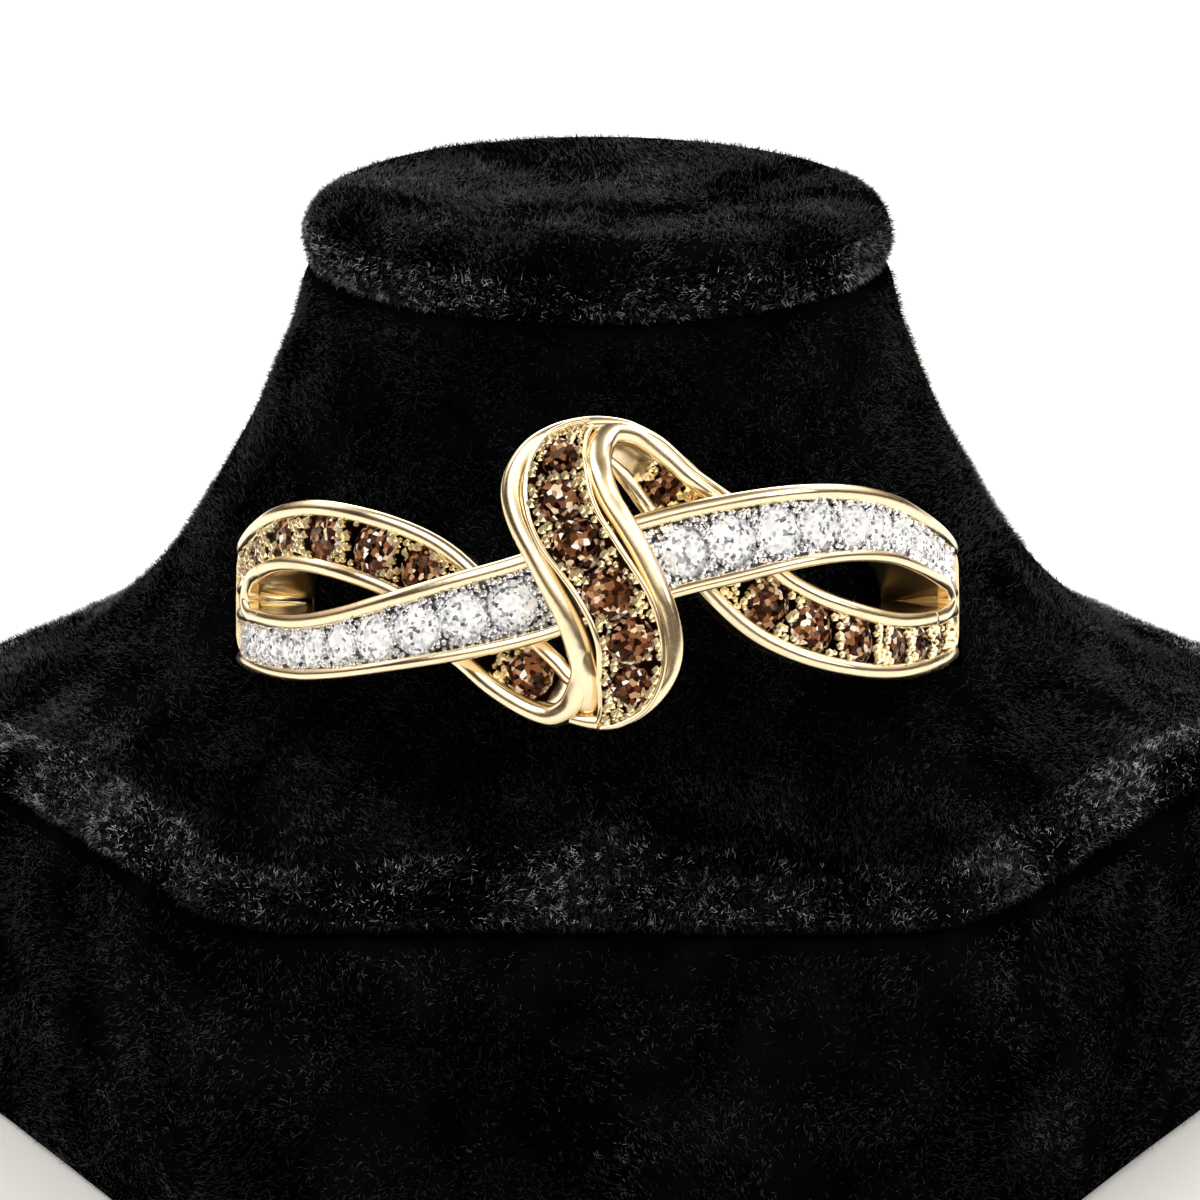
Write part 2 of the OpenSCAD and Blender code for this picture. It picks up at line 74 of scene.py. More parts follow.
def six_sides():
    """The block's outline and its outward directions, as evenly spaced points."""
    x, y, side = FRONT_SIDE / 2, block_high[1], BLOCK_WIDE / 2
    corners = np.array([[x, -y], [side, 0], [x, y], [-x, y], [-side, 0], [-x, -y]])
    line = []
    for i, corner in enumerate(corners):
        start = corner + CORNER_EASE * unit(corners[i - 1] - corner)
        end = corner + CORNER_EASE * unit(corners[(i + 1) % 6] - corner)
        for t in np.linspace(0, 1, 13):
            line.append((1 - t) ** 2 * start + 2 * t * (1 - t) * corner + t * t * end)
    line = np.array(line + line[:1])
    run = np.r_[0, np.cumsum(np.linalg.norm(np.diff(line, axis=0), axis=1))]
    at = np.arange(OUTLINE_POINTS) / OUTLINE_POINTS * run[-1]
    points = np.stack([np.interp(at, run, line[:, 0]), np.interp(at, run, line[:, 1])], 1)
    along = unit(np.roll(points, -1, 0) - np.roll(points, 1, 0))
    return points, np.stack([along[:, 1], -along[:, 0]], 1)


def rounded(radius, start, end, steps=5):
    """Inset and height along a quarter round, between two angles in degrees."""
    turn = np.radians(np.linspace(start, end, steps))
    return [(radius * (1 - math.cos(a)), radius * math.sin(a)) for a in turn]


def skin(rings):
    """Points and faces of a closed skin over rings of equally many points, first ring at the bottom."""
    rows, n = len(rings), len(rings[0])
    faces = [(i * n + k, i * n + (k + 1) % n, (i + 1) * n + (k + 1) % n, (i + 1) * n + k)
             for i in range(rows - 1) for k in range(n)]
    return np.vstack(rings), faces + [tuple(range(n))[::-1], tuple(range((rows - 1) * n, rows * n))]


def piece(name, points, faces, material, smooth=True):
    """A mesh object from points in millimetres."""
    mesh = bpy.data.meshes.new(name)
    mesh.from_pydata((np.asarray(points) * MM).tolist(), [], faces)
    mesh.materials.append(material)
    mesh.polygons.foreach_set("use_smooth", [smooth] * len(mesh.polygons))
    made = bpy.data.objects.new(name, mesh)
    bpy.context.scene.collection.objects.link(made)
    return made


def drifts(spots, wide):
    """Three slow random numbers for each spot, which change over that width in millimetres."""
    apart = [Vector((0, 0, 0)), Vector((31.4, 0, 0)), Vector((0, 27.1, 0))]
    return np.array([[noise.noise(Vector(p) / wide + step) for step in apart] for p in spots])


def napped(points):
    """The points of a velvet skin, each moved a little as the cloth lies uneven on its board."""
    moved = points + CLOTH_SWELL * drifts(points, SWELL_WIDE)
    moved[:, 2] = np.maximum(moved[:, 2], 0)
    return moved


def linear(colour):
    """A colour given as sRGB hex, as the linear RGBA that a shader takes."""
    parts = [int(colour[i:i + 2], 16) / 255 for i in (1, 3, 5)]
    return tuple(c / 12.92 if c <= 0.04045 else ((c + 0.055) / 1.055) ** 2.4 for c in parts) + (1.0,)


def add_node(tree, kind, props=(), values=(), links=(), stops=()):
    """Adds one shader node with its properties, the values of its free sockets, its links and, on a
    colour ramp, its stops of place and sRGB colour."""
    made = tree.nodes.new(kind)
    for name, value in dict(props).items():
        setattr(made, name, value)
    for socket, value in dict(values).items():
        made.inputs[socket].default_value = value
    for socket, source in dict(links).items():
        tree.links.new(source, made.inputs[socket])
    for i, (at, colour) in enumerate(stops):
        stop = made.color_ramp.elements[i] if i < 2 else made.color_ramp.elements.new(at)
        stop.position, stop.color = at, linear(colour)
    return made


def new_material(name):
    """A material with its tree and an empty Principled shader."""
    made = bpy.data.materials.new(name)
    made.use_nodes = True
    return made, made.node_tree, made.node_tree.nodes["Principled BSDF"]


# The velvet's ground is woven cotton dyed black, hidden under the pile. It drinks nearly all light, and
# its tone is raised a little in soft patches, a painted sheen where the tufts lean another way. A tuft
# is 0.13 mm wide.
TUFT = 0.13
PATCH = 3.0
black_velvet, tree, shader = new_material("black_cotton_velvet")
place = add_node(tree, "ShaderNodeTexCoord")
tufts = add_node(tree, "ShaderNodeTexNoise",
                 values={"Scale": 1 / (TUFT * MM), "Detail": 3.0, "Roughness": 0.65},
                 links={"Vector": place.outputs["Object"]})
patches = add_node(tree, "ShaderNodeTexNoise",
                   values={"Scale": 1 / (PATCH * MM), "Detail": 4.0, "Roughness": 0.6,
                           "Distortion": 0.6},
                   links={"Vector": place.outputs["Object"]})
sheen_patches = add_node(tree, "ShaderNodeMapRange",
                   values={"From Min": 0.42, "From Max": 0.68},
                   links={"Value": patches.outputs["Fac"]})
# The paler tone in these patches is painted sheen, not the cloth's own colour
tone = add_node(tree, "ShaderNodeMix", props={"data_type": "RGBA"},
                values={6: linear("#020202"), 7: linear("#08080A")},
                links={0: sheen_patches.outputs["Result"]})
nap = add_node(tree, "ShaderNodeBump",
               values={"Strength": 0.9, "Distance": 0.06 * MM},
               links={"Height": tufts.outputs["Fac"]})
tree.links.new(tone.outputs[2], shader.inputs["Base Color"])
tree.links.new(nap.outputs["Normal"], shader.inputs["Normal"])
shader.inputs["Roughness"].default_value = 1.0
shader.inputs["Specular IOR Level"].default_value = 0.0

# The pile is cut cotton about a quarter of a millimetre long. Most fibres are as black as the ground,
# and a few, at random and more in some patches, are painted grey as glints of light. A real fibre is
# 0.015 mm thick; these are drawn coarser and fewer, as thick as they need to be to show, and their
# tones change every 0.2 mm.
FIBRE_LONG = [0.14, 0.27]
FIBRE_THICK = 0.026
FIBRE_SINK = 0.03
FIBRE_TONES = 0.2
# How far the fibres lean, all together in swirls of this width and each by itself
FIBRE_LEAN = 1.2
SWIRL_SHARE = 1.3
OWN_SHARE = 0.6
SWIRL = 4.0
# The pile is denser in some patches than in others, and worn away beside a seam
DENSE_PATCH = 2.2
DENSE_SHARE = 1.4
SEAM_BARE = 0.3
velvet_pile, tree, shader = new_material("black_cotton_pile")
place = add_node(tree, "ShaderNodeTexCoord")
strands = add_node(tree, "ShaderNodeTexVoronoi", values={"Scale": 1 / (FIBRE_TONES * MM)},
                   links={"Vector": place.outputs["Object"]})
strand_tone = add_node(tree, "ShaderNodeSeparateColor", links={"Color": strands.outputs["Color"]})
fibre_glints = add_node(tree, "ShaderNodeMapRange", values={"From Min": 0.45, "From Max": 1.0},
                links={"Value": strand_tone.outputs["Red"]})
crushed = add_node(tree, "ShaderNodeTexNoise", values={"Scale": 1 / (PATCH * MM), "Detail": 3.0},
                   links={"Vector": place.outputs["Object"]})
glint_patches = add_node(tree, "ShaderNodeMapRange",
                  values={"From Min": 0.4, "From Max": 0.65, "To Min": 0.08},
                  links={"Value": crushed.outputs["Fac"]})
shown = add_node(tree, "ShaderNodeMath", props={"operation": "MULTIPLY"},
                 links={0: fibre_glints.outputs["Result"], 1: glint_patches.outputs["Result"]})
# The grey end of this tone is a painted glint on the fibres, with more of it in some patches
tone = add_node(tree, "ShaderNodeMix", props={"data_type": "RGBA"},
                values={6: linear("#060607"), 7: linear("#58585E")},
                links={0: shown.outputs["Value"]})
tree.links.new(tone.outputs[2], shader.inputs["Base Color"])
shader.inputs["Roughness"].default_value = 0.6
shader.inputs["Specular IOR Level"].default_value = 0.3

# Along the rounded edges the pile gets a painted highlight: a copy whose fibres are painted far paler
# and glint in more of its patches.
edge_highlight_pile = velvet_pile.copy()
edge_highlight_pile.name = "black_cotton_pile_painted_highlight"
edge_highlight_pile.node_tree.nodes[tone.name].inputs[7].default_value = linear("#E8E8EE")
edge_highlight_pile.node_tree.nodes[glint_patches.name].inputs["To Min"].default_value = 0.35
# On the upright neck the pile gets painted shade: a copy whose fibres are painted darker, with dimmer
# glints.
neck_shaded_pile = velvet_pile.copy()
neck_shaded_pile.name = "black_cotton_pile_painted_shade"
neck_shaded_pile.node_tree.nodes[tone.name].inputs[7].default_value = linear("#3A3A3E")


def pile(name, cloth, fibres, seed, bare, finish=velvet_pile):
    """A cut pile on a velvet skin: closed spikes, except where bare says that a place has none."""
    mesh = cloth.data
    mesh.calc_loop_triangles()
    corners = np.empty(len(mesh.loop_triangles) * 3, np.int32)
    mesh.loop_triangles.foreach_get("vertices", corners)
    spots = np.empty(len(mesh.vertices) * 3)
    mesh.vertices.foreach_get("co", spots)
    sides = spots.reshape(-1, 3)[corners.reshape(-1, 3)] / MM
    facing = np.cross(sides[:, 1] - sides[:, 0], sides[:, 2] - sides[:, 0])
    area = np.linalg.norm(facing, axis=1)
    sides, facing, area = sides[area > 0], facing[area > 0], area[area > 0]
    facing /= area[:, None]
    middles = sides.mean(1)
    dense = np.array([noise.noise(Vector(p) / DENSE_PATCH) for p in middles])
    swirl = drifts(middles, SWIRL)
    weights = area * np.clip(0.7 + DENSE_SHARE * dense, 0.15, 1.6) * ~bare(middles, facing)
    chance = np.random.default_rng(seed)
    picked = chance.choice(len(area), fibres, p=weights / weights.sum())
    u, v = chance.random((2, fibres))
    u, v = np.where(u + v > 1, 1 - u, u), np.where(u + v > 1, 1 - v, v)
    a, b, c = sides[picked].transpose(1, 0, 2)
    roots = a + u[:, None] * (b - a) + v[:, None] * (c - a)
    lean = SWIRL_SHARE * swirl[picked] + chance.normal(0, OWN_SHARE, (fibres, 3))
    ways = unit(facing[picked] + FIBRE_LEAN * lean)
    long = chance.uniform(*FIBRE_LONG, fibres)
    across = unit(np.cross(ways, chance.normal(0, 1, (fibres, 3))))
    other = np.cross(ways, across)
    points = np.empty((fibres, 4, 3))
    for k, turn in enumerate(2 * np.pi * np.arange(3) / 3):
        aside = math.cos(turn) * across + math.sin(turn) * other
        points[:, k] = roots - FIBRE_SINK * ways + FIBRE_THICK / 2 * aside
    points[:, 3] = roots + long[:, None] * ways
    spike = np.array([(0, 2, 1), (0, 1, 3), (1, 2, 3), (2, 0, 3)])
    faces = (spike + 4 * np.arange(fibres)[:, None, None]).reshape(-1, 3)
    nap = piece(name, points.reshape(-1, 3), faces.tolist(), finish)
    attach(nap, "root")
    return nap


outline, outward = six_sides()


def around(inset, height):
    """One ring of the block's outline, drawn in by inset at a height; both may vary round it."""
    flat = outline - outward * np.reshape(inset, (-1, 1))
    return np.column_stack([flat, np.broadcast_to(height, len(outline))])


block_top = block_high[2]
upper_edge = block_top - EDGE_ROUND
block_rings = [around(UNDERSIDE_INSET, 0.0)]
block_rings += [around(inset, EDGE_ROUND - rise) for inset, rise in rounded(EDGE_ROUND, 90, 0)]
block_rings += [around(0.0, z) for z in np.linspace(EDGE_ROUND, upper_edge, SIDE_ROWS)[1:-1]]
block_rings += [around(inset, upper_edge + rise) for inset, rise in rounded(EDGE_ROUND, 0, 90)]
block_rings += [around(TOP_INSET, block_top + GLUED_RISE)]
points, faces = skin(block_rings)
stand_block = piece("velvet_block", napped(points), faces, black_velvet)
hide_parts("stand_base")
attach(stand_block, "root")

# A face counts as level where its direction rises or falls by more than this
LEVEL = 0.9


def off_the_sides(p, facing):
    """True on the block's underside and on its top, which the bell's foot covers."""
    return (abs(facing[:, 2]) > LEVEL) | (p[:, 2] < SEAM_BARE) | (p[:, 2] > block_top - SEAM_BARE)


pile("block_pile", stand_block, 46000, 11, off_the_sides)

# The bell. It is a moulded core whose foot covers the whole block and sweeps up to a round neck,
# covered with the same velvet. A slit cut round into its front holds the back of the ring's band.
# Each row gives a distance from the axis and the height above the foot's top.
BELL = [[19, 0], [17.4, 0.4], [15.9, 1.4], [14.2, 3], [12.7, 4.9], [11.5, 6.9], [10.5, 8.7],
        [9.75, 10.4], [9.2, 11.8], [8.95, 12.8]]
BELL_STEPS = 6
BELL_ROWS = 42
FOOT_THICK = 1.4
FOOT_ROUND = 0.8
NECK_R = 8.95
NECK_TOP_R = 8.75
NECK_TOP_INSET = 0.9
# The ring's size and place, which the slit follows
FINGER_R = 8.25
SIDE_R = 10.5
SIDE_HALF = 1.7
SHOULDER_RISE = 0.1
SLIT_GAP = 0.08
RING_TILT = 22
RING_PLACE = [0, -7.5, 17.3]
# Distance from the axis where the neck's pile gives way to the foot's, how far in the foot's edge
# carries the pile with the painted highlight, and how far down
FOOT_FROM = 15
EDGE_HIGHLIGHT = 1.3
EDGE_HIGHLIGHT_DOWN = 1.0


def smooth(table, steps):
    """A smooth curve through the rows of a table, with that many steps between two rows."""
    rows = np.array(table, float)
    ends = np.vstack([rows[:1], rows, rows[-1:]])
    curve = []
    for i in range(len(rows) - 1):
        p0, p1, p2, p3 = ends[i:i + 4]
        for t in np.arange(steps) / steps:
            curve.append(0.5 * (2 * p1 + (p2 - p0) * t + (2 * p0 - 5 * p1 + 4 * p2 - p3) * t ** 2
                                + (3 * p1 - p0 - 3 * p2 + p3) * t ** 3))
    return np.array(curve + [rows[-1]])


bell_low, bell_high = [np.array(corner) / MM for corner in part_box("stand_bell")]
sweep = smooth(BELL, BELL_STEPS)[::-1]


def round_ring(radius, height, step):
    """Points of a level circle round the axis, a step in degrees apart."""
    turns = np.radians(np.arange(0, 360, step))
    return np.stack([radius * np.cos(turns), radius * np.sin(turns), 0 * turns + height], 1)


def bell_height(radius):
    """Height of the bell's skin above its foot's top, at a distance from the axis."""
    return np.interp(radius, sweep[:, 0], sweep[:, 1])


foot_low = bell_low[2]
foot_high = block_top + FOOT_THICK
reach = np.linalg.norm(outline, axis=1)
heading = outline / reach[:, None]
rim = foot_high + bell_height(reach)
edge_low = foot_low + EDGE_ROUND
edge_high = rim - FOOT_ROUND
bell_rings = [around(UNDERSIDE_INSET, foot_low)]
bell_rings += [around(inset, edge_low - rise) for inset, rise in rounded(EDGE_ROUND, 90, 0)]
bell_rings += [around(0.0, edge_low * (1 - t) + edge_high * t) for t in (0.35, 0.7)]
bell_rings += [around(inset, edge_high + rise) for inset, rise in rounded(FOOT_ROUND, 0, 84, 7)]
inner = np.linalg.norm(bell_rings[-1][:, :2], axis=1)
for t in np.linspace(0, 1, BELL_ROWS)[1:]:
    radius = inner + (NECK_R - inner) * t ** 0.85
    height = foot_high + bell_height(radius)
    bell_rings.append(np.column_stack([heading * radius[:, None], height]))
neck_top = bell_high[2]
for radius, height in [(NECK_R - 0.05, neck_top - 0.5), (NECK_TOP_R, neck_top - 0.15),
                       (NECK_TOP_R - 0.2, neck_top),
                       (NECK_TOP_R - NECK_TOP_INSET, neck_top + GLUED_RISE)]:
    bell_rings.append(np.column_stack([heading * radius, np.full(len(heading), height)]))
points, faces = skin(bell_rings)
bell_skin = piece("velvet_bell", napped(points), faces, black_velvet)

# The slit is a flat round channel in the ring's own tilted plane
tilt = Matrix.Rotation(-math.radians(RING_TILT), 4, "X")
pose = Matrix.Translation(Vector(RING_PLACE) * MM) @ tilt
slit_half = SIDE_HALF + SHOULDER_RISE + SLIT_GAP
slit_inner, slit_outer = FINGER_R - SLIT_GAP, SIDE_R + SLIT_GAP
slit_rings = [round_ring(slit_inner, -slit_half, 2.5), round_ring(slit_outer, -slit_half, 2.5),
              round_ring(slit_outer, slit_half, 2.5), round_ring(slit_inner, slit_half, 2.5)]
count = len(slit_rings[0])
slit_faces = [(i * count + k, i * count + (k + 1) % count,
               (i + 1) % 4 * count + (k + 1) % count, (i + 1) % 4 * count + k)
              for i in range(4) for k in range(count)]
slit = piece("slit", np.vstack(slit_rings), slit_faces, black_velvet)
slit.data.transform(pose)


def combine(body, others, operation):
    """Cuts or joins other solids to a body for good, and removes them."""
    for other in others:
        step = body.modifiers.new(operation, "BOOLEAN")
        step.operation = operation
        step.solver = "MANIFOLD"
        step.object = other
    bpy.context.view_layer.update()
    shaped = body.evaluated_get(bpy.context.evaluated_depsgraph_get())
    mesh = bpy.data.meshes.new_from_object(shaped)
    body.modifiers.clear()
    body.data = mesh
    for other in others:
        bpy.data.objects.remove(other)


combine(bell_skin, [slit], "DIFFERENCE")
bell_skin.data.set_sharp_from_angle(angle=math.radians(50))
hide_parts("stand_bell")
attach(bell_skin, "root")


def in_the_slit(p):
    """True inside the slit for the ring."""
    back = np.array(pose.inverted())
    local = p @ back[:3, :3].T + back[:3, 3] / MM
    radius = np.hypot(local[:, 0], local[:, 1])
    return ((abs(local[:, 2]) < slit_half + 0.02) & (radius > slit_inner - 0.02)
            & (radius < slit_outer + 0.02))


def off_the_neck(p, facing):
    """True on the bell's underside, on its top under the cap, in the slit and on the foot."""
    radius = np.hypot(p[:, 0], p[:, 1])
    covered = (facing[:, 2] < -0.6) | (p[:, 2] > neck_top - SEAM_BARE)
    return covered | in_the_slit(p) | (radius > FOOT_FROM)


def off_the_foot(p, facing):
    """True on the bell's underside, in the slit and on the neck."""
    radius = np.hypot(p[:, 0], p[:, 1])
    return (p[:, 2] < foot_low + SEAM_BARE) | in_the_slit(p) | (radius <= FOOT_FROM)


def off_the_foot_edge(p, facing):
    """True all over the bell, except on the foot's rounded edge."""
    inset = np.array([np.min(np.sum((outline - spot[:2]) * outward, axis=1)) for spot in p])
    return (facing[:, 2] < -0.1) | (inset > EDGE_HIGHLIGHT) | (p[:, 2] < foot_high - EDGE_HIGHLIGHT_DOWN)


# Painted shade: the neck gets the darker pile
pile("neck_pile", bell_skin, 49000, 12, off_the_neck, neck_shaded_pile)
pile("foot_pile", bell_skin, 49000, 13, off_the_foot)
# Painted highlight: paler pile along the foot's rounded edge
pile("foot_edge_highlight_pile", bell_skin, 16000, 15, off_the_foot_edge, edge_highlight_pile)

# The cap on the bell's neck. It is a low moulded disc with a full rim and a slight dip in its top,
# covered with its own round of velvet, so a fine seam shows where it sits on the neck.
# Each row gives a distance from the axis and a share of the cap's height.
CAP = [[5, 0], [8.3, 0], [8.55, 0.04], [8.78, 0.2], [8.85, 0.4], [8.75, 0.62], [8.45, 0.82],
       [7.9, 0.96], [7.2, 1], [6, 0.97], [4, 0.9], [1.5, 0.865], [0.4, 0.86]]
CAP_STEPS = 4
# The part of the rim, above the seam, that carries the pile with the painted highlight
RIM_HIGHLIGHT = [0.1, 1.4]
cap_low, cap_high = [np.array(corner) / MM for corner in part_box("stand_cap")]
cap_rings = [round_ring(radius, cap_low[2] + share * (cap_high[2] - cap_low[2]), 2)
             for radius, share in smooth(CAP, CAP_STEPS)]
points, faces = skin(cap_rings)
cap_skin = piece("velvet_cap", napped(points), faces, black_velvet)
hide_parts("stand_cap")
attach(cap_skin, "root")


def off_the_cap(p, facing):
    """True on the cap's underside."""
    return (facing[:, 2] < -LEVEL) | (p[:, 2] < cap_low[2] + 0.05)


def off_the_rim(p, facing):
    """True all over the cap, except on the lower half of its rim."""
    rise = p[:, 2] - cap_low[2]
    return (rise < RIM_HIGHLIGHT[0]) | (rise > RIM_HIGHLIGHT[1])


pile("cap_pile", cap_skin, 24000, 14, off_the_cap)
# Painted highlight: paler pile on the lower half of the cap's rim
pile("rim_highlight_pile", cap_skin, 7000, 16, off_the_rim, edge_highlight_pile)

# The gold of the ring, cast in one: the band round the back, a white-set ribbon and two brown-set
# ones that bypass each other, and an S knotted over them with two bars. It is 14 carat yellow gold,
# polished on its rails; the bed of the white stones is plated with rhodium, which is silver-grey.

# Each row of a ribbon gives the angle round the band from its front, the height, the radius of the
# rails' tops and half of the ribbon's width. A bar's last number is half of its own width.
WHITE_RIBBON = [
    [-115, -0.72, 9.60, 0.70], [-105, -0.80, 10.10, 0.76], [-95, -0.86, 10.35, 0.79],
    [-87, -0.94, 10.46, 0.82], [-78, -1.09, 10.52, 0.86], [-69, -1.33, 10.55, 0.88],
    [-60, -1.56, 10.60, 0.90],
    [-50, -1.70, 10.70, 0.94], [-40, -1.64, 10.85, 1.00], [-30, -1.41, 11.00, 1.09],
    [-20, -1.07, 10.95, 1.18], [-10, -0.62, 10.80, 1.22], [0, 0.00, 10.75, 1.22],
    [10, 0.58, 10.80, 1.22], [20, 1.03, 10.95, 1.20], [30, 1.41, 11.00, 1.13],
    [40, 1.60, 10.85, 1.06], [50, 1.57, 10.70, 0.98], [60, 1.31, 10.60, 0.92],
    [69, 1.06, 10.55, 0.90], [78, 0.88, 10.52, 0.86], [87, 0.86, 10.46, 0.82],
    [95, 0.83, 10.35, 0.79], [105, 0.78, 10.10, 0.76], [115, 0.72, 9.60, 0.70],
]
LEFT_RIBBON = [
    [-115, 0.72, 9.60, 0.70], [-105, 0.78, 10.10, 0.76], [-95, 0.84, 10.35, 0.79],
    [-87, 0.88, 10.46, 0.82], [-78, 0.94, 10.52, 0.84], [-69, 1.20, 10.50, 0.88],
    [-60, 1.42, 10.48, 0.93],
    [-50, 1.38, 10.42, 1.02], [-41, 1.05, 10.25, 1.07], [-33, 0.56, 9.98, 1.10],
    [-27, 0.00, 9.85, 1.10], [-21, -0.92, 9.85, 1.10], [-16, -1.80, 10.00, 1.08],
    [-12, -2.42, 10.20, 1.04], [-8, -2.90, 10.35, 0.92], [-4.5, -3.22, 10.45, 0.66],
    [-1.5, -3.42, 10.50, 0.40],
]
RIGHT_RIBBON = [
    [1.5, 3.45, 10.50, 0.40], [4.5, 3.20, 10.45, 0.68], [8, 2.80, 10.35, 0.90],
    [11, 2.32, 10.20, 1.00], [14, 1.75, 10.05, 1.06], [18, 0.95, 9.90, 1.12],
    [23, 0.10, 9.85, 1.14], [28, -0.58, 9.88, 1.14], [33, -1.02, 10.00, 1.12],
    [39, -1.36, 10.20, 1.08], [46, -1.57, 10.38, 1.02], [53, -1.62, 10.44, 0.95],
    [60, -1.52, 10.48, 0.90], [69, -1.30, 10.50, 0.86], [78, -0.98, 10.52, 0.84],
    [87, -0.90, 10.46, 0.82], [95, -0.85, 10.35, 0.79], [105, -0.79, 10.10, 0.76],
    [115, -0.72, 9.60, 0.70],
]
S_RIBBON = [
    [-0.8, 4.02, 11.20, 0.12], [-2.9, 3.72, 11.30, 0.42], [-4.7, 3.20, 11.45, 0.74],
    [-5.4, 2.50, 11.60, 0.90], [-5.0, 1.80, 11.75, 0.95], [-3.6, 1.10, 11.88, 0.95],
    [-1.7, 0.52, 11.95, 0.92], [0, 0, 11.97, 0.90], [1.6, -0.52, 11.95, 0.91],
    [3.1, -1.10, 11.88, 0.93], [4.2, -1.80, 11.75, 0.93], [4.4, -2.50, 11.60, 0.92],
    [3.5, -3.20, 11.45, 0.80], [1.9, -3.72, 11.30, 0.48], [0.1, -4.04, 11.20, 0.12],
]
LEFT_BAR = [
    [-24, -1.90, 10.10, 0.26], [-20.5, -2.32, 10.25, 0.26], [-16.5, -2.88, 10.40, 0.26],
    [-12.5, -3.34, 10.50, 0.26], [-9, -3.64, 10.60, 0.27], [-6.5, -3.72, 10.75, 0.28],
    [-4.2, -3.50, 10.90, 0.30], [-2.7, -3.08, 11.10, 0.33], [-1.9, -2.55, 11.30, 0.36],
    [-2.6, -1.90, 11.50, 0.36], [-4.2, -1.10, 11.70, 0.33], [-6.3, -0.30, 11.80, 0.31],
    [-8.6, 0.60, 11.80, 0.31], [-10.6, 1.40, 11.70, 0.31], [-11.5, 2.10, 11.60, 0.31],
    [-11, 2.75, 11.50, 0.30], [-9, 3.35, 11.40, 0.27], [-6, 3.75, 11.25, 0.24],
    [-2.5, 3.98, 11.12, 0.20], [1, 4.04, 11.00, 0.18], [4.5, 3.97, 10.85, 0.14],
    [8.8, 3.67, 10.62, 0.10], [11.7, 3.28, 10.50, 0.09], [14.6, 2.83, 10.42, 0.09],
    [20, 2.26, 10.25, 0.09], [24.5, 1.88, 10.10, 0.09],
]
LEFT_TURN = [
    [-2, -2.10, 11.42, 0.28], [-1.2, -2.75, 11.28, 0.28], [-1.3, -3.20, 11.05, 0.28],
    [-1.5, -3.55, 10.80, 0.28], [-1.8, -3.80, 10.45, 0.26],
]
RIGHT_BAR = [
    [24, 1.65, 10.10, 0.22], [19.4, 2.03, 10.27, 0.22], [13.9, 2.61, 10.50, 0.22],
    [10.8, 3.07, 10.60, 0.23], [8, 3.46, 10.70, 0.26], [5.4, 3.77, 10.83, 0.30],
    [2.6, 3.84, 11.00, 0.34], [0.7, 3.55, 11.20, 0.37], [0, 3.08, 11.40, 0.38],
    [0.4, 2.55, 11.60, 0.35], [1.5, 1.95, 11.70, 0.33], [3.2, 1.38, 11.78, 0.32],
    [4.9, 0.80, 11.82, 0.31], [6.6, 0.15, 11.82, 0.31], [8.2, -0.55, 11.80, 0.30],
    [9.5, -1.25, 11.70, 0.29], [10.1, -1.90, 11.60, 0.28], [9.9, -2.45, 11.50, 0.26],
    [8.8, -2.98, 11.40, 0.24], [7, -3.42, 11.25, 0.22], [4.8, -3.74, 11.10, 0.20],
    [2.4, -3.90, 11.00, 0.18], [-0.5, -3.92, 10.80, 0.18], [-4, -3.80, 10.60, 0.14],
]
LEFT_RIM = [
    [-66, 0.62, 10.52, 0.22], [-70.5, 0.50, 10.54, 0.23], [-73.6, 0.24, 10.55, 0.25],
    [-74.8, -0.08, 10.55, 0.26], [-73.6, -0.40, 10.55, 0.25], [-70.5, -0.64, 10.55, 0.23],
    [-66, -0.74, 10.56, 0.22],
]
RIGHT_RIM = [
    [66, 0.42, 10.56, 0.17], [71, 0.33, 10.55, 0.19], [75, 0.13, 10.54, 0.23],
    [76.5, -0.11, 10.54, 0.24], [75, -0.37, 10.54, 0.23], [71, -0.62, 10.53, 0.22],
    [66, -0.75, 10.52, 0.22],
]
# Widths of the upper and the lower rail, at most this share of half of the ribbon's width
WHITE_RAILS = [0.46, 0.35]
BROWN_RAILS = [0.47, 0.47]
S_RAILS = [0.16, 0.16]
RAIL_MOST = 0.62
# Height of a rail's round crown, and the points along its half round
CROWN = 0.19
CROWN_POINTS = 11
# The channels run out over the last few degrees before this angle
CHANNEL_DEPTH = 0.92
CHANNEL_END = 84
CHANNEL_RUN_OUT = 5
# A ribbon's foot is narrower than its face in front and wider at the shoulders, where it thickens
# between these two angles until it reaches the band's inside
UNDERCUT = 0.26
FLARE = 0.08
THICKEN = [50, 80]
JOIN_FOOT = 8.35
RIBBON_THICK = 1.35
BAR_THICK = 1.28
RIM_THICK = 0.5
# The band's section is full and square at the sides and rounder at the back
BACK_R = 9.9
BACK_HALF = 1.2
BAND_FROM = 83.5
BAND_STEPS = 120
BAND_EASE = 0.25
SIDE_FULL = 0.3
BACK_FULL = 0.7
# The forks, where a pair of ribbons leaves the band. Each row gives a distance from the finger's
# axis and how far the gold reaches forward there, in the middle of the gap and at its edges.
FORK = [[8.3, -0.6, -0.2], [8.5, -0.35, 0.05], [9.4, -0.05, 0.35], [10, 0.25, 0.7],
        [10.4, 0.25, 0.7]]
FORK_AT = 77
# Height of the fork's middle on the left, which is side -1, and on the right
FORK_MIDDLE = {-1: -0.08, 1: -0.12}
FORK_HALF = 0.55
FORK_BACK = 1.35
RIBBON_STEPS = 10
BAR_STEPS = 8
# The front of a loop's channel, in degrees, is polished and has no grains
LOOP_PLAIN = 7.5


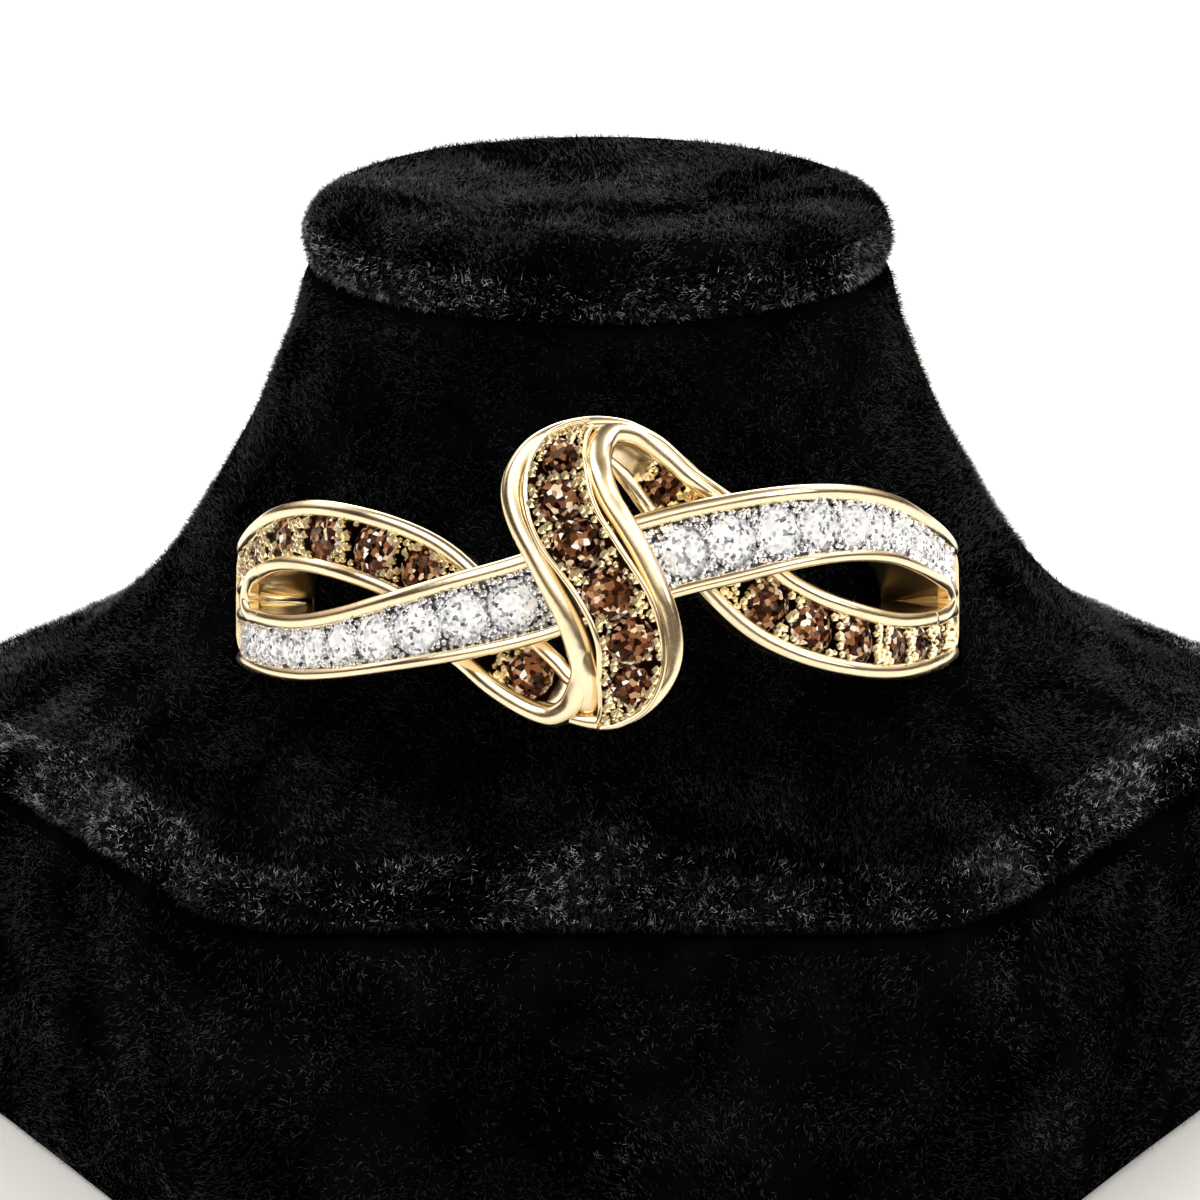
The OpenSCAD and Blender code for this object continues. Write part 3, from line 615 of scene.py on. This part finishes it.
def painted_facet_flashes(tree, shader, facet, stops, tilt):
    """A surface cut in small facets: patches of that size, each with its own lean and its own painted
    tone, a painted reflection that makes some flash and others stay dark."""
    place = add_node(tree, "ShaderNodeTexCoord")
    images = add_node(tree, "ShaderNodeTexVoronoi", values={"Scale": 1 / (facet * MM)},
                      links={"Vector": place.outputs["Object"]})
    tone = add_node(tree, "ShaderNodeSeparateColor", links={"Color": images.outputs["Color"]})
    colours = add_node(tree, "ShaderNodeValToRGB", links={"Fac": tone.outputs["Red"]}, stops=stops)
    colours.color_ramp.interpolation = "CONSTANT"
    lean = add_node(tree, "ShaderNodeVectorMath", props={"operation": "SUBTRACT"},
                    values={1: (0.5, 0.5, 0.5)}, links={0: images.outputs["Color"]})
    face = add_node(tree, "ShaderNodeNewGeometry")
    leant = add_node(tree, "ShaderNodeVectorMath", props={"operation": "MULTIPLY_ADD"},
                     values={1: (tilt, tilt, tilt)},
                     links={0: lean.outputs["Vector"], 2: face.outputs["Normal"]})
    level = add_node(tree, "ShaderNodeVectorMath", props={"operation": "NORMALIZE"},
                     links={0: leant.outputs["Vector"]})
    tree.links.new(colours.outputs["Color"], shader.inputs["Base Color"])
    tree.links.new(level.outputs["Vector"], shader.inputs["Normal"])
    shader.inputs["Roughness"].default_value = 0.02


def worked_metal(tree, shader, hollow, raised, smoothest, roughest, wave):
    """A metal face worked by hand: two near tones and a gloss that drift over it, and a slight wave
    of that size in millimetres, which bends the lights along its edges."""
    place = add_node(tree, "ShaderNodeTexCoord")
    drift = add_node(tree, "ShaderNodeTexNoise",
                     values={"Scale": 1 / (wave * MM), "Detail": 3.0, "Roughness": 0.6},
                     links={"Vector": place.outputs["Object"]})
    worn = add_node(tree, "ShaderNodeMapRange",
                    values={"From Min": 0.35, "From Max": 0.65,
                            "To Min": roughest, "To Max": smoothest},
                    links={"Value": drift.outputs["Fac"]})
    tone = add_node(tree, "ShaderNodeMix", props={"data_type": "RGBA"},
                    values={6: linear(hollow), 7: linear(raised)}, links={0: drift.outputs["Fac"]})
    swell = add_node(tree, "ShaderNodeBump", values={"Strength": 0.5, "Distance": wave / 40 * MM},
                     links={"Height": drift.outputs["Fac"]})
    tree.links.new(tone.outputs[2], shader.inputs["Base Color"])
    tree.links.new(worn.outputs["Result"], shader.inputs["Roughness"])
    tree.links.new(swell.outputs["Normal"], shader.inputs["Normal"])
    shader.inputs["Metallic"].default_value = 1.0


# The casting's three finishes, in the order of its material slots. The outside is polished on a soft
# wheel, which leaves long gentle waves, and the bed under the brown stones keeps the casting's grain
# and is painted near black, a painted shade for its deep channels.
POLISHED, PLATED, CAST_SHADED = 0, 1, 2
yellow_gold, tree, shader = new_material("polished_14_carat_gold")
worked_metal(tree, shader, "#EAD4AA", "#FAEBCC", 0.17, 0.23, 0.9)
# The rhodium bed is cut with a graver in bright facets, about 0.1 mm wide, that mirror the stones; the
# mirror images are painted on as tones, a painted reflection
rhodium, tree, shader = new_material("rhodium_plated_bright_cut_bed")
painted_facet_flashes(tree, shader, 0.1, [(0.0, "#5C6068"), (0.2, "#A8ACB4"), (0.45, "#F4F6FA")], 0.7)
shader.inputs["Metallic"].default_value = 0.5
shader.inputs["Roughness"].default_value = 0.3
# Painted shade: the bed's near-black brown stands for the shade in the deep channels
shaded_cast_bed, tree, shader = new_material("as_cast_gold_bed_painted_shade")
worked_metal(tree, shader, "#2C1608", "#482610", 0.42, 0.58, 0.12)


def out(angle):
    """The direction from the finger's axis at an angle round the band."""
    turn = np.radians(angle)
    return np.stack([np.sin(turn), -np.cos(turn), 0 * turn], -1)


def share_of_join(row):
    """0 in front and 1 where a ribbon has thickened to join the band."""
    t = np.clip((abs(row[0]) - THICKEN[0]) / (THICKEN[1] - THICKEN[0]), 0, 1)
    return t * t * (3 - 2 * t)


def half_channel(row, rail):
    """One half of a ribbon's section from its foot over the rail down to the channel's floor."""
    half, joined = row[3], share_of_join(row)
    rail = min(rail, RAIL_MOST * half)
    depth = CHANNEL_DEPTH * max(0.02, min(1, (CHANNEL_END - abs(row[0])) / CHANNEL_RUN_OUT))
    foot = -RIBBON_THICK - (row[2] - JOIN_FOOT - RIBBON_THICK) * joined
    side = -min(UNDERCUT, 0.4 * half) * (1 - joined) + FLARE * joined
    crown = min(CROWN, 0.45 * rail)
    arch = [(half - rail * (1 - math.cos(a)) / 2, crown * (math.sin(a) - 1))
            for a in np.radians(np.linspace(0, 180, CROWN_POINTS))]
    floor = -max(depth + 0.06, crown + 0.03)
    return [(half + side, foot), (half, -crown - 0.05)] + arch + [(half - rail - 0.03, floor)]


def channel_section(row, rails):
    """A ribbon's section: a rail, the channel's floor and the other rail."""
    upper = half_channel(row, rails[0])
    lower = [(-x, y) for x, y in half_channel(row, rails[1])[::-1]]
    return np.array(upper + lower)


def bar_section(row, thick):
    """A bar's section, with a round top and straight sides down to its foot."""
    half = row[3]
    arc = [(half * math.cos(a), 0.8 * half * (math.sin(a) - 1))
           for a in np.radians(np.arange(0, 181, 12))]
    return np.array([(half, -thick)] + arc + [(-half, -thick)])


def mended(solid):
    """The same solid with all its faces looking outwards."""
    mesh = bmesh.new()
    mesh.from_mesh(solid.data)
    bmesh.ops.recalc_face_normals(mesh, faces=mesh.faces)
    mesh.to_mesh(solid.data)
    mesh.free()
    return solid


def loft(name, places, outs, acrosses, sections, bed=(), bed_metal=POLISHED, bed_span=None):
    """A closed solid through sections. The strips of the section named in bed have the bed's metal,
    all along or only between the sections numbered in bed_span."""
    rings = [p + np.outer(s[:, 0], a) + np.outer(s[:, 1], o)
             for p, o, a, s in zip(places, outs, acrosses, sections)]
    points, faces = skin(rings)
    made = piece(name, points, faces, yellow_gold)
    made.data.materials.append(rhodium)
    made.data.materials.append(shaded_cast_bed)
    n = len(rings[0])
    bed_rings = range(len(rings) - 1) if bed_span is None else bed_span
    for i, face in enumerate(made.data.polygons):
        if i // n in bed_rings and i % n in bed:
            face.material_index = bed_metal
    return mended(made)


def strip(name, table, section, steps, measure, bed=(), bed_metal=POLISHED, plain_end=0):
    """A ribbon or bar swept along the rows of its table; measure is its rails' widths or its depth.
    The bed is polished nearer to the front than plain_end degrees, where it becomes the loop's wall."""
    rows = smooth(table, steps)
    span = [i for i in range(len(rows) - 1) if abs(rows[i, 0]) >= plain_end]
    outs = out(rows[:, 0])
    places = outs * rows[:, 2:3] + np.outer(rows[:, 1], [0, 0, 1])
    ahead = unit(np.vstack([places[1:], places[-1:]]) - np.vstack([places[:1], places[:-1]]))
    acrosses = unit(np.cross(outs, ahead))
    sections = [section(row, measure) for row in rows]
    return loft(name, places, outs, acrosses, sections, bed, bed_metal, span)


turns = np.linspace(BAND_FROM, 360 - BAND_FROM, BAND_STEPS)
backness = np.maximum(0, -np.cos(np.radians(turns))) ** 1.2
band_sections = []
for back in backness:
    half = SIDE_HALF + (BACK_HALF - SIDE_HALF) * back
    thick = SIDE_R + (BACK_R - SIDE_R) * back - FINGER_R
    arc = np.radians(np.arange(0, 180.1, 10))
    full = SIDE_FULL + (BACK_FULL - SIDE_FULL) * back
    dome = [(half * math.copysign(abs(math.cos(a)) ** full, math.cos(a)),
             BAND_EASE + (thick - BAND_EASE) * max(0, math.sin(a)) ** full) for a in arc]
    eased = [(-half + BAND_EASE * (1 - math.sin(a)), BAND_EASE * (1 - math.cos(a)))
             for a in np.radians([90, 67, 45, 22])][::-1]
    band_sections.append(np.array(eased + [(-x, y) for x, y in eased[::-1]] + dome))
outs = out(turns)
gold = loft("gold_ring", FINGER_R * outs, outs, np.tile([0.0, 0.0, 1.0], (len(turns), 1)),
            band_sections)
# A half channel has a foot, a side, its crown and a floor, and the floor's strip is the middle one
channel_points = CROWN_POINTS + 3
floor_strip = [channel_points - 1]
whole_bed = range(channel_points - 2, channel_points + 1)
parts = [
    strip("white_ribbon", WHITE_RIBBON, channel_section, RIBBON_STEPS, WHITE_RAILS, whole_bed, PLATED),
    strip("left_ribbon", LEFT_RIBBON, channel_section, RIBBON_STEPS, BROWN_RAILS, floor_strip,
          CAST_SHADED, LOOP_PLAIN),
    strip("right_ribbon", RIGHT_RIBBON, channel_section, RIBBON_STEPS, BROWN_RAILS, floor_strip,
          CAST_SHADED, LOOP_PLAIN),
    strip("s_ribbon", S_RIBBON, channel_section, RIBBON_STEPS, S_RAILS, floor_strip, CAST_SHADED),
    strip("left_bar", LEFT_BAR, bar_section, BAR_STEPS, BAR_THICK),
    strip("left_turn", LEFT_TURN, bar_section, BAR_STEPS, BAR_THICK),
    strip("right_bar", RIGHT_BAR, bar_section, BAR_STEPS, BAR_THICK),
]


def fork(name, side):
    """The gold between two ribbons where they part, with a creased hollow end towards the front."""
    turn = out(side * FORK_AT)
    forward = side * np.array([turn[1], -turn[0], 0])
    shares = np.linspace(1, -1, 17)
    sections = [[(-FORK_HALF, -FORK_BACK), (FORK_HALF, -FORK_BACK)]
                + [(FORK_HALF * s, deep + (edge - deep) * abs(s) ** 1.6) for s in shares]
                for radius, deep, edge in FORK]
    places = [radius * turn + [0, 0, FORK_MIDDLE[side]] for radius, deep, edge in FORK]
    count = len(FORK)
    return loft(name, places, [forward] * count, [np.array([0.0, 0.0, 1.0])] * count,
                [np.array(section) for section in sections])


parts += [fork("left_fork", -1), fork("right_fork", 1)]
parts += [strip("left_rim", LEFT_RIM, bar_section, BAR_STEPS, RIM_THICK),
          strip("right_rim", RIGHT_RIM, bar_section, BAR_STEPS, RIM_THICK)]
combine(gold, parts, "UNION")
gold.data.transform(pose)
gold.data.polygons.foreach_set("use_smooth", [True] * len(gold.data.polygons))
gold.data.set_sharp_from_angle(angle=math.radians(32))
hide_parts("ring_body")
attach(gold, "root")

# The stones. They are round diamonds with the full brilliant cut of 57 facets, colourless in the
# long ribbon and cognac brown in the other ribbons and the S. Each sits where its solid sits.

# Shares of a stone's diameter; the star's is of the crown's width, the keel's of the girdle's radius
TABLE_SHARE = 0.56
CROWN_SHARE = 0.15
GIRDLE_SHARE = 0.03
PAVILION_SHARE = 0.42
STAR_SHARE = 0.45
KEEL_SHARE = 0.24
STONES_OF_A_COLOUR = 20
# The brown stones from this number on are the S's
FIRST_OF_THE_S = 15
# A stone is drawn out to the metal that is pushed over its edge: more so in the ribbons than in the S
WHITE_SPREAD, BROWN_SPREAD, S_SPREAD = 1.1, 1.3, 1.08
DIAMOND_IOR = 2.42
# Each facet of a diamond shows a mosaic of the facets behind it, painted on here as tones, a painted
# reflection; a piece of it is 0.1 mm wide or a little more. In the colourless stones most are painted
# bright and a few grey.
WHITE_FLASHES = [(0.0, "#5A6068"), (0.1, "#9CA2AA"), (0.24, "#E8EBF0"), (0.4, "#FFFFFF")]
WHITE_RIM_FLASHES = [(0.0, "#6A7078"), (0.14, "#B4B8C0"), (0.3, "#FAFBFD")]
# In the brown ones most are the stone's own dark of strong tea, and a few are painted flashes in amber
# and white.
BROWN_FLASHES = [(0.0, "#0E0201"), (0.34, "#30120A"), (0.52, "#5A3018"), (0.66, "#865638"),
                 (0.79, "#B48C68"), (0.89, "#E8CFAE"), (0.95, "#FFFAF0")]
BROWN_RIM_FLASHES = [(0.0, "#2A0E06"), (0.3, "#6E4630"), (0.55, "#A8805E"), (0.78, "#E6CDB0")]
white_diamond, tree, shader = new_material("colourless_diamond")
painted_facet_flashes(tree, shader, 0.1, WHITE_FLASHES, 0.8)
shader.inputs["IOR"].default_value = DIAMOND_IOR
shader.inputs["Transmission Weight"].default_value = 0.1
brown_diamond, tree, shader = new_material("cognac_brown_diamond")
painted_facet_flashes(tree, shader, 0.14, BROWN_FLASHES, 0.75)
shader.inputs["IOR"].default_value = DIAMOND_IOR
shader.inputs["Specular IOR Level"].default_value = 0.08
shader.inputs["Specular Tint"].default_value = linear("#E8B490")
# The steep facets round a stone's edge are painted paler than its middle, a painted highlight for the
# light that they take from the side
brown_rim_highlight, tree, shader = new_material("cognac_brown_diamond_rim_highlight")
painted_facet_flashes(tree, shader, 0.1, BROWN_RIM_FLASHES, 0.7)
shader.inputs["IOR"].default_value = DIAMOND_IOR
shader.inputs["Specular IOR Level"].default_value = 0.3
# The same painted highlight round the colourless stones' edges
white_rim_highlight, tree, shader = new_material("colourless_diamond_rim_highlight")
painted_facet_flashes(tree, shader, 0.08, WHITE_RIM_FLASHES, 0.7)
shader.inputs["IOR"].default_value = DIAMOND_IOR


def seat(name):
    """A stone's place from its solid: the middle of its table, its axis, one side and its diameter."""
    corners = np.array([v.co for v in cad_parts[name].data.vertices])
    points = np.unique(corners.round(8), axis=0) / MM
    centre = points.mean(0)
    axis = np.linalg.svd(points - centre)[2][2]
    heights = (points - centre) @ axis
    aside = points - centre - np.outer(heights, axis)
    spread = np.linalg.norm(aside, axis=1)
    if heights[np.argmin(spread)] > 0:
        axis, heights = -axis, -heights
    return centre + axis * heights.max(), axis, unit(aside[np.argmax(spread)]), 2 * spread.max()


def brilliant():
    """Points, faces and the numbers of the edge's faces of a brilliant cut, with its table at height
    0 and a diameter of 1."""
    def ring(n, radius, height, first=0.0):
        a = 2 * np.pi * (np.arange(n) + first) / n
        return np.stack([radius * np.cos(a), radius * np.sin(a), 0 * a + height], 1)

    table_r, girdle_r = TABLE_SHARE / 2, 0.5
    lean = math.cos(math.pi / 8)
    star_r = (table_r + STAR_SHARE * (girdle_r - table_r)) / lean
    keel_r = KEEL_SHARE * girdle_r / lean
    low = -CROWN_SHARE - GIRDLE_SHARE
    points = np.vstack([
        ring(8, table_r, 0), ring(8, star_r, -STAR_SHARE * CROWN_SHARE, 0.5),
        ring(16, girdle_r, -CROWN_SHARE), ring(16, girdle_r, low),
        ring(8, keel_r, low - PAVILION_SHARE * (1 - KEEL_SHARE), 0.5),
        [[0, 0, low - PAVILION_SHARE]],
    ])
    star, girdle, under, keel, tip = 8, 16, 32, 48, 56
    faces, rim_faces = [tuple(range(8))], []
    for i in range(8):
        j, back = (i + 1) % 8, (i - 1) % 8
        faces += [(i, star + i, j), (i, star + back, girdle + 2 * i, star + i)]
        corners = [2 * i, 2 * i + 1, (2 * i + 2) % 16]
        for a, b in zip(corners, corners[1:]):
            rim_faces += [len(faces), len(faces) + 1]
            faces += [(star + i, girdle + a, girdle + b),
                      (girdle + a, under + a, under + b, girdle + b),
                      (under + a, keel + i, under + b)]
        faces.append((under + 2 * i, keel + back, tip, keel + i))
    return points, faces, rim_faces


cut_points, cut_faces, rim_faces = brilliant()
seats = []
for colour, material, rim in (("white", white_diamond, white_rim_highlight), ("brown", brown_diamond, brown_rim_highlight)):
    for i in range(1, STONES_OF_A_COLOUR + 1):
        solid = f"{colour}_stone_{i:02d}"
        middle, axis, side, diameter = seat(solid)
        turn = np.stack([side, np.cross(axis, side), axis])
        brown_spread = BROWN_SPREAD if i < FIRST_OF_THE_S else S_SPREAD
        drawn = diameter * (WHITE_SPREAD if colour == "white" else brown_spread)
        seats.append((middle, axis, drawn))
        stone = piece(f"{colour}_brilliant_{i:02d}", middle + drawn * cut_points @ turn,
                      cut_faces, material, smooth=False)
        stone.data.materials.append(rim)
        for k in rim_faces:
            stone.data.polygons[k].material_index = 1
        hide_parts(solid)
        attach(stone, "root")

# The grains. Small beads of the channels' own metal are raised between the stones and along the
# rails and pushed over the stones' edges to hold them; their metal is painted paler than the rails', a
# painted highlight, and between the gold ones the bed's painted shade shows.
GOLD_GRAIN = 0.27
WHITE_GRAIN = 0.18
GRAIN_SIZES = [0.65, 1.2]
# Steps from row to row and from grain to grain in a row, over a grain's size
ROW_STEP = 0.74
GRAIN_STEP = 0.85
# How far a grain's middle lies under the rails' tops, reaches over a stone and strays from its row
GRAIN_SINK = 0.13
GRAIN_OVER = 0.04
GRAIN_SHIFT = 0.07
GRAINS_MISSING = {"white": 0.0, "gold": 0.06}
# Each row gives the grain's metal, its ribbon and that one's rails, its size and where it stands
GRAIN_SPANS = [
    ("white", WHITE_RIBBON, WHITE_RAILS, WHITE_GRAIN, [(-76, -6), (6, 76)]),
    ("gold", LEFT_RIBBON, BROWN_RAILS, GOLD_GRAIN, [(-80, -24), (-15, -LOOP_PLAIN)]),
    ("gold", RIGHT_RIBBON, BROWN_RAILS, GOLD_GRAIN, [(LOOP_PLAIN, 16), (22, 78)]),
    ("gold", S_RIBBON, S_RAILS, GOLD_GRAIN, [(-9, 9)]),
]
# Painted highlight: the grains' gold and rhodium are paler than the metal of the rails
grain_gold_highlight, tree, shader = new_material("cut_gold_grain_painted_highlight")
worked_metal(tree, shader, "#F4DFB0", "#FFF8DC", 0.2, 0.25, 0.2)
grain_rhodium_highlight, tree, shader = new_material("cut_rhodium_grain_painted_highlight")
worked_metal(tree, shader, "#F2F4FA", "#FFFFFF", 0.2, 0.25, 0.2)

ball = bmesh.new()
bmesh.ops.create_icosphere(ball, subdivisions=1, radius=0.5)
ball_points = np.array([v.co for v in ball.verts])
ball_faces = [[v.index for v in f.verts] for f in ball.faces]
ball.free()
chance = np.random.default_rng(5)
grains = {"white": [], "gold": []}
for kind, table, rails, size, spans in GRAIN_SPANS:
    rows = smooth(table, 40)
    outs = out(rows[:, 0])
    places = outs * rows[:, 2:3] + np.outer(rows[:, 1], [0, 0, 1])
    ahead = unit(np.gradient(places, axis=0))
    acrosses = unit(np.cross(outs, ahead))
    run = np.r_[0, np.cumsum(np.linalg.norm(np.diff(places, axis=0), axis=1))]
    for count, at in enumerate(np.arange(size, run[-1], ROW_STEP * size)):
        i = int(np.searchsorted(run, at))
        if not any(low < rows[i, 0] < high for low, high in spans):
            continue
        half = rows[i, 3]
        upper, lower = [half - min(rail, RAIL_MOST * half) - 0.35 * size for rail in rails]
        rowful = max(2, round((upper + lower) / (GRAIN_STEP * size)) + 1)
        for across in np.linspace(-lower, upper, rowful + count % 2):
            shift = chance.uniform(-GRAIN_SHIFT, GRAIN_SHIFT, 3)
            p = places[i] + acrosses[i] * across - outs[i] * GRAIN_SINK + shift
            p = np.array(pose @ Vector(p * MM)) / MM
            free = chance.random() > GRAINS_MISSING[kind]
            for middle, axis, drawn in seats:
                rise = (p - middle) @ axis
                aside = np.linalg.norm(p - middle - rise * axis)
                if abs(rise) < drawn and aside < drawn / 2 - GRAIN_OVER:
                    free = False
            if free:
                grains[kind].append((p, size * chance.uniform(*GRAIN_SIZES)))

for kind, material in (("white", grain_rhodium_highlight), ("gold", grain_gold_highlight)):
    points, faces = [], []
    for i, (p, size) in enumerate(grains[kind]):
        points.append(p + size * ball_points)
        faces += [[k + i * len(ball_points) for k in face] for face in ball_faces]
    beads = piece(f"{kind}_grains", np.vstack(points), faces, material, smooth=False)
    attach(beads, "root")

# The room. A plain pale floor of matt board, a pale room with soft boxes above and beside, and the
# camera at the photo's angle, 18 degrees above the ring, with a long lens.
# Half of the floor's width, in metres
FLOOR_HALF = 3.0
# Brightness of the room over the sine of the height that one looks up at
SKY = [(0.0, "#1E140A"), (0.15, "#35281B"), (0.33, "#A09484"),
       (0.54, "#FFFFFF"), (0.8, "#9A9184"), (1.0, "#40372D")]
SKY_STRENGTH = 2.4
# Dark cards stand left and right of the camera and draw dark lines on the gold. They begin this far
# to the side and end this far back, both as parts of a direction of length 1.
CARD = "#2E2014"
CARD_SIDE = [0.5, 0.78]
CARD_BACK = [0.2, -0.1]
# A low view sees a plain pale backdrop behind the floor
BACKDROP = "#A6A5A3"
floor_mesh = bpy.data.meshes.new("floor")
floor_mesh.from_pydata([(-FLOOR_HALF, -FLOOR_HALF, 0), (FLOOR_HALF, -FLOOR_HALF, 0),
                        (FLOOR_HALF, FLOOR_HALF, 0), (-FLOOR_HALF, FLOOR_HALF, 0)], [], [(0, 1, 2, 3)])
floor = bpy.data.objects.new("floor", floor_mesh)
bpy.context.scene.collection.objects.link(floor)
pale_board, tree, shader = new_material("matt_white_board")
shader.inputs["Base Color"].default_value = linear("#F4F4F2")
shader.inputs["Roughness"].default_value = 0.9
floor_mesh.materials.append(pale_board)

world = bpy.data.worlds.new("studio")
world.use_nodes = True
sky = world.node_tree
toward = add_node(sky, "ShaderNodeTexCoord")
gaze = add_node(sky, "ShaderNodeSeparateXYZ", links={"Vector": toward.outputs["Generated"]})
heights = add_node(sky, "ShaderNodeValToRGB", links={"Fac": gaze.outputs["Z"]}, stops=SKY)
sideways = add_node(sky, "ShaderNodeMath", props={"operation": "ABSOLUTE"},
                    links={0: gaze.outputs["X"]})
aside = add_node(sky, "ShaderNodeMapRange",
                 values={"From Min": CARD_SIDE[0], "From Max": CARD_SIDE[1]},
                 links={"Value": sideways.outputs["Value"]})
before = add_node(sky, "ShaderNodeMapRange",
                  values={"From Min": CARD_BACK[0], "From Max": CARD_BACK[1]},
                  links={"Value": gaze.outputs["Y"]})
on_card = add_node(sky, "ShaderNodeMath", props={"operation": "MULTIPLY"},
                   links={0: aside.outputs["Result"], 1: before.outputs["Result"]})
lit = add_node(sky, "ShaderNodeMix", props={"data_type": "RGBA"}, values={7: linear(CARD)},
               links={0: on_card.outputs["Value"], 6: heights.outputs["Color"]})
seen = add_node(sky, "ShaderNodeLightPath")
room = add_node(sky, "ShaderNodeMix", props={"data_type": "RGBA"}, values={7: linear(BACKDROP)},
                links={0: seen.outputs["Is Camera Ray"], 6: lit.outputs[2]})
sky.links.new(room.outputs[2], sky.nodes["Background"].inputs["Color"])
sky.nodes["Background"].inputs["Strength"].default_value = SKY_STRENGTH
bpy.context.scene.world = world

RING_MIDDLE = Vector(RING_PLACE) * MM


def soft_box(name, place, size, brightness, aim=RING_MIDDLE):
    """A rectangular lamp at a place in millimetres; brightness is its radiance."""
    lamp = bpy.data.lights.new(name, "AREA")
    lamp.shape = "RECTANGLE"
    lamp.size, lamp.size_y = size[0] * MM, size[1] * MM
    lamp.energy = brightness * math.pi * lamp.size * lamp.size_y
    made = bpy.data.objects.new(name, lamp)
    made.location = Vector(place) * MM
    made.rotation_euler = (aim - made.location).to_track_quat("-Z", "Y").to_euler()
    bpy.context.scene.collection.objects.link(made)
    return made


soft_box("key", (-160, -180, 330), (220, 160), 5)
soft_box("fill", (260, -120, 200), (160, 200), 3)
soft_box("back", (0, 260, 260), (400, 160), 4)
bpy.context.scene.view_settings.view_transform = "Standard"

CAMERA_PLACE = Vector((0, -122.4, 54.6)) * MM
AIM = Vector((0.07, -7.5, 17.39)) * MM
PHOTO_LENS = 124.3
lens = bpy.data.cameras.new("camera")
lens.lens = PHOTO_LENS
lens.sensor_width = 36
lens.clip_start, lens.clip_end = 0.005, 20
camera = bpy.data.objects.new("camera", lens)
camera.location = CAMERA_PLACE
camera.rotation_euler = (AIM - CAMERA_PLACE).to_track_quat("-Z", "Y").to_euler()
bpy.context.scene.collection.objects.link(camera)
bpy.context.scene.camera = camera
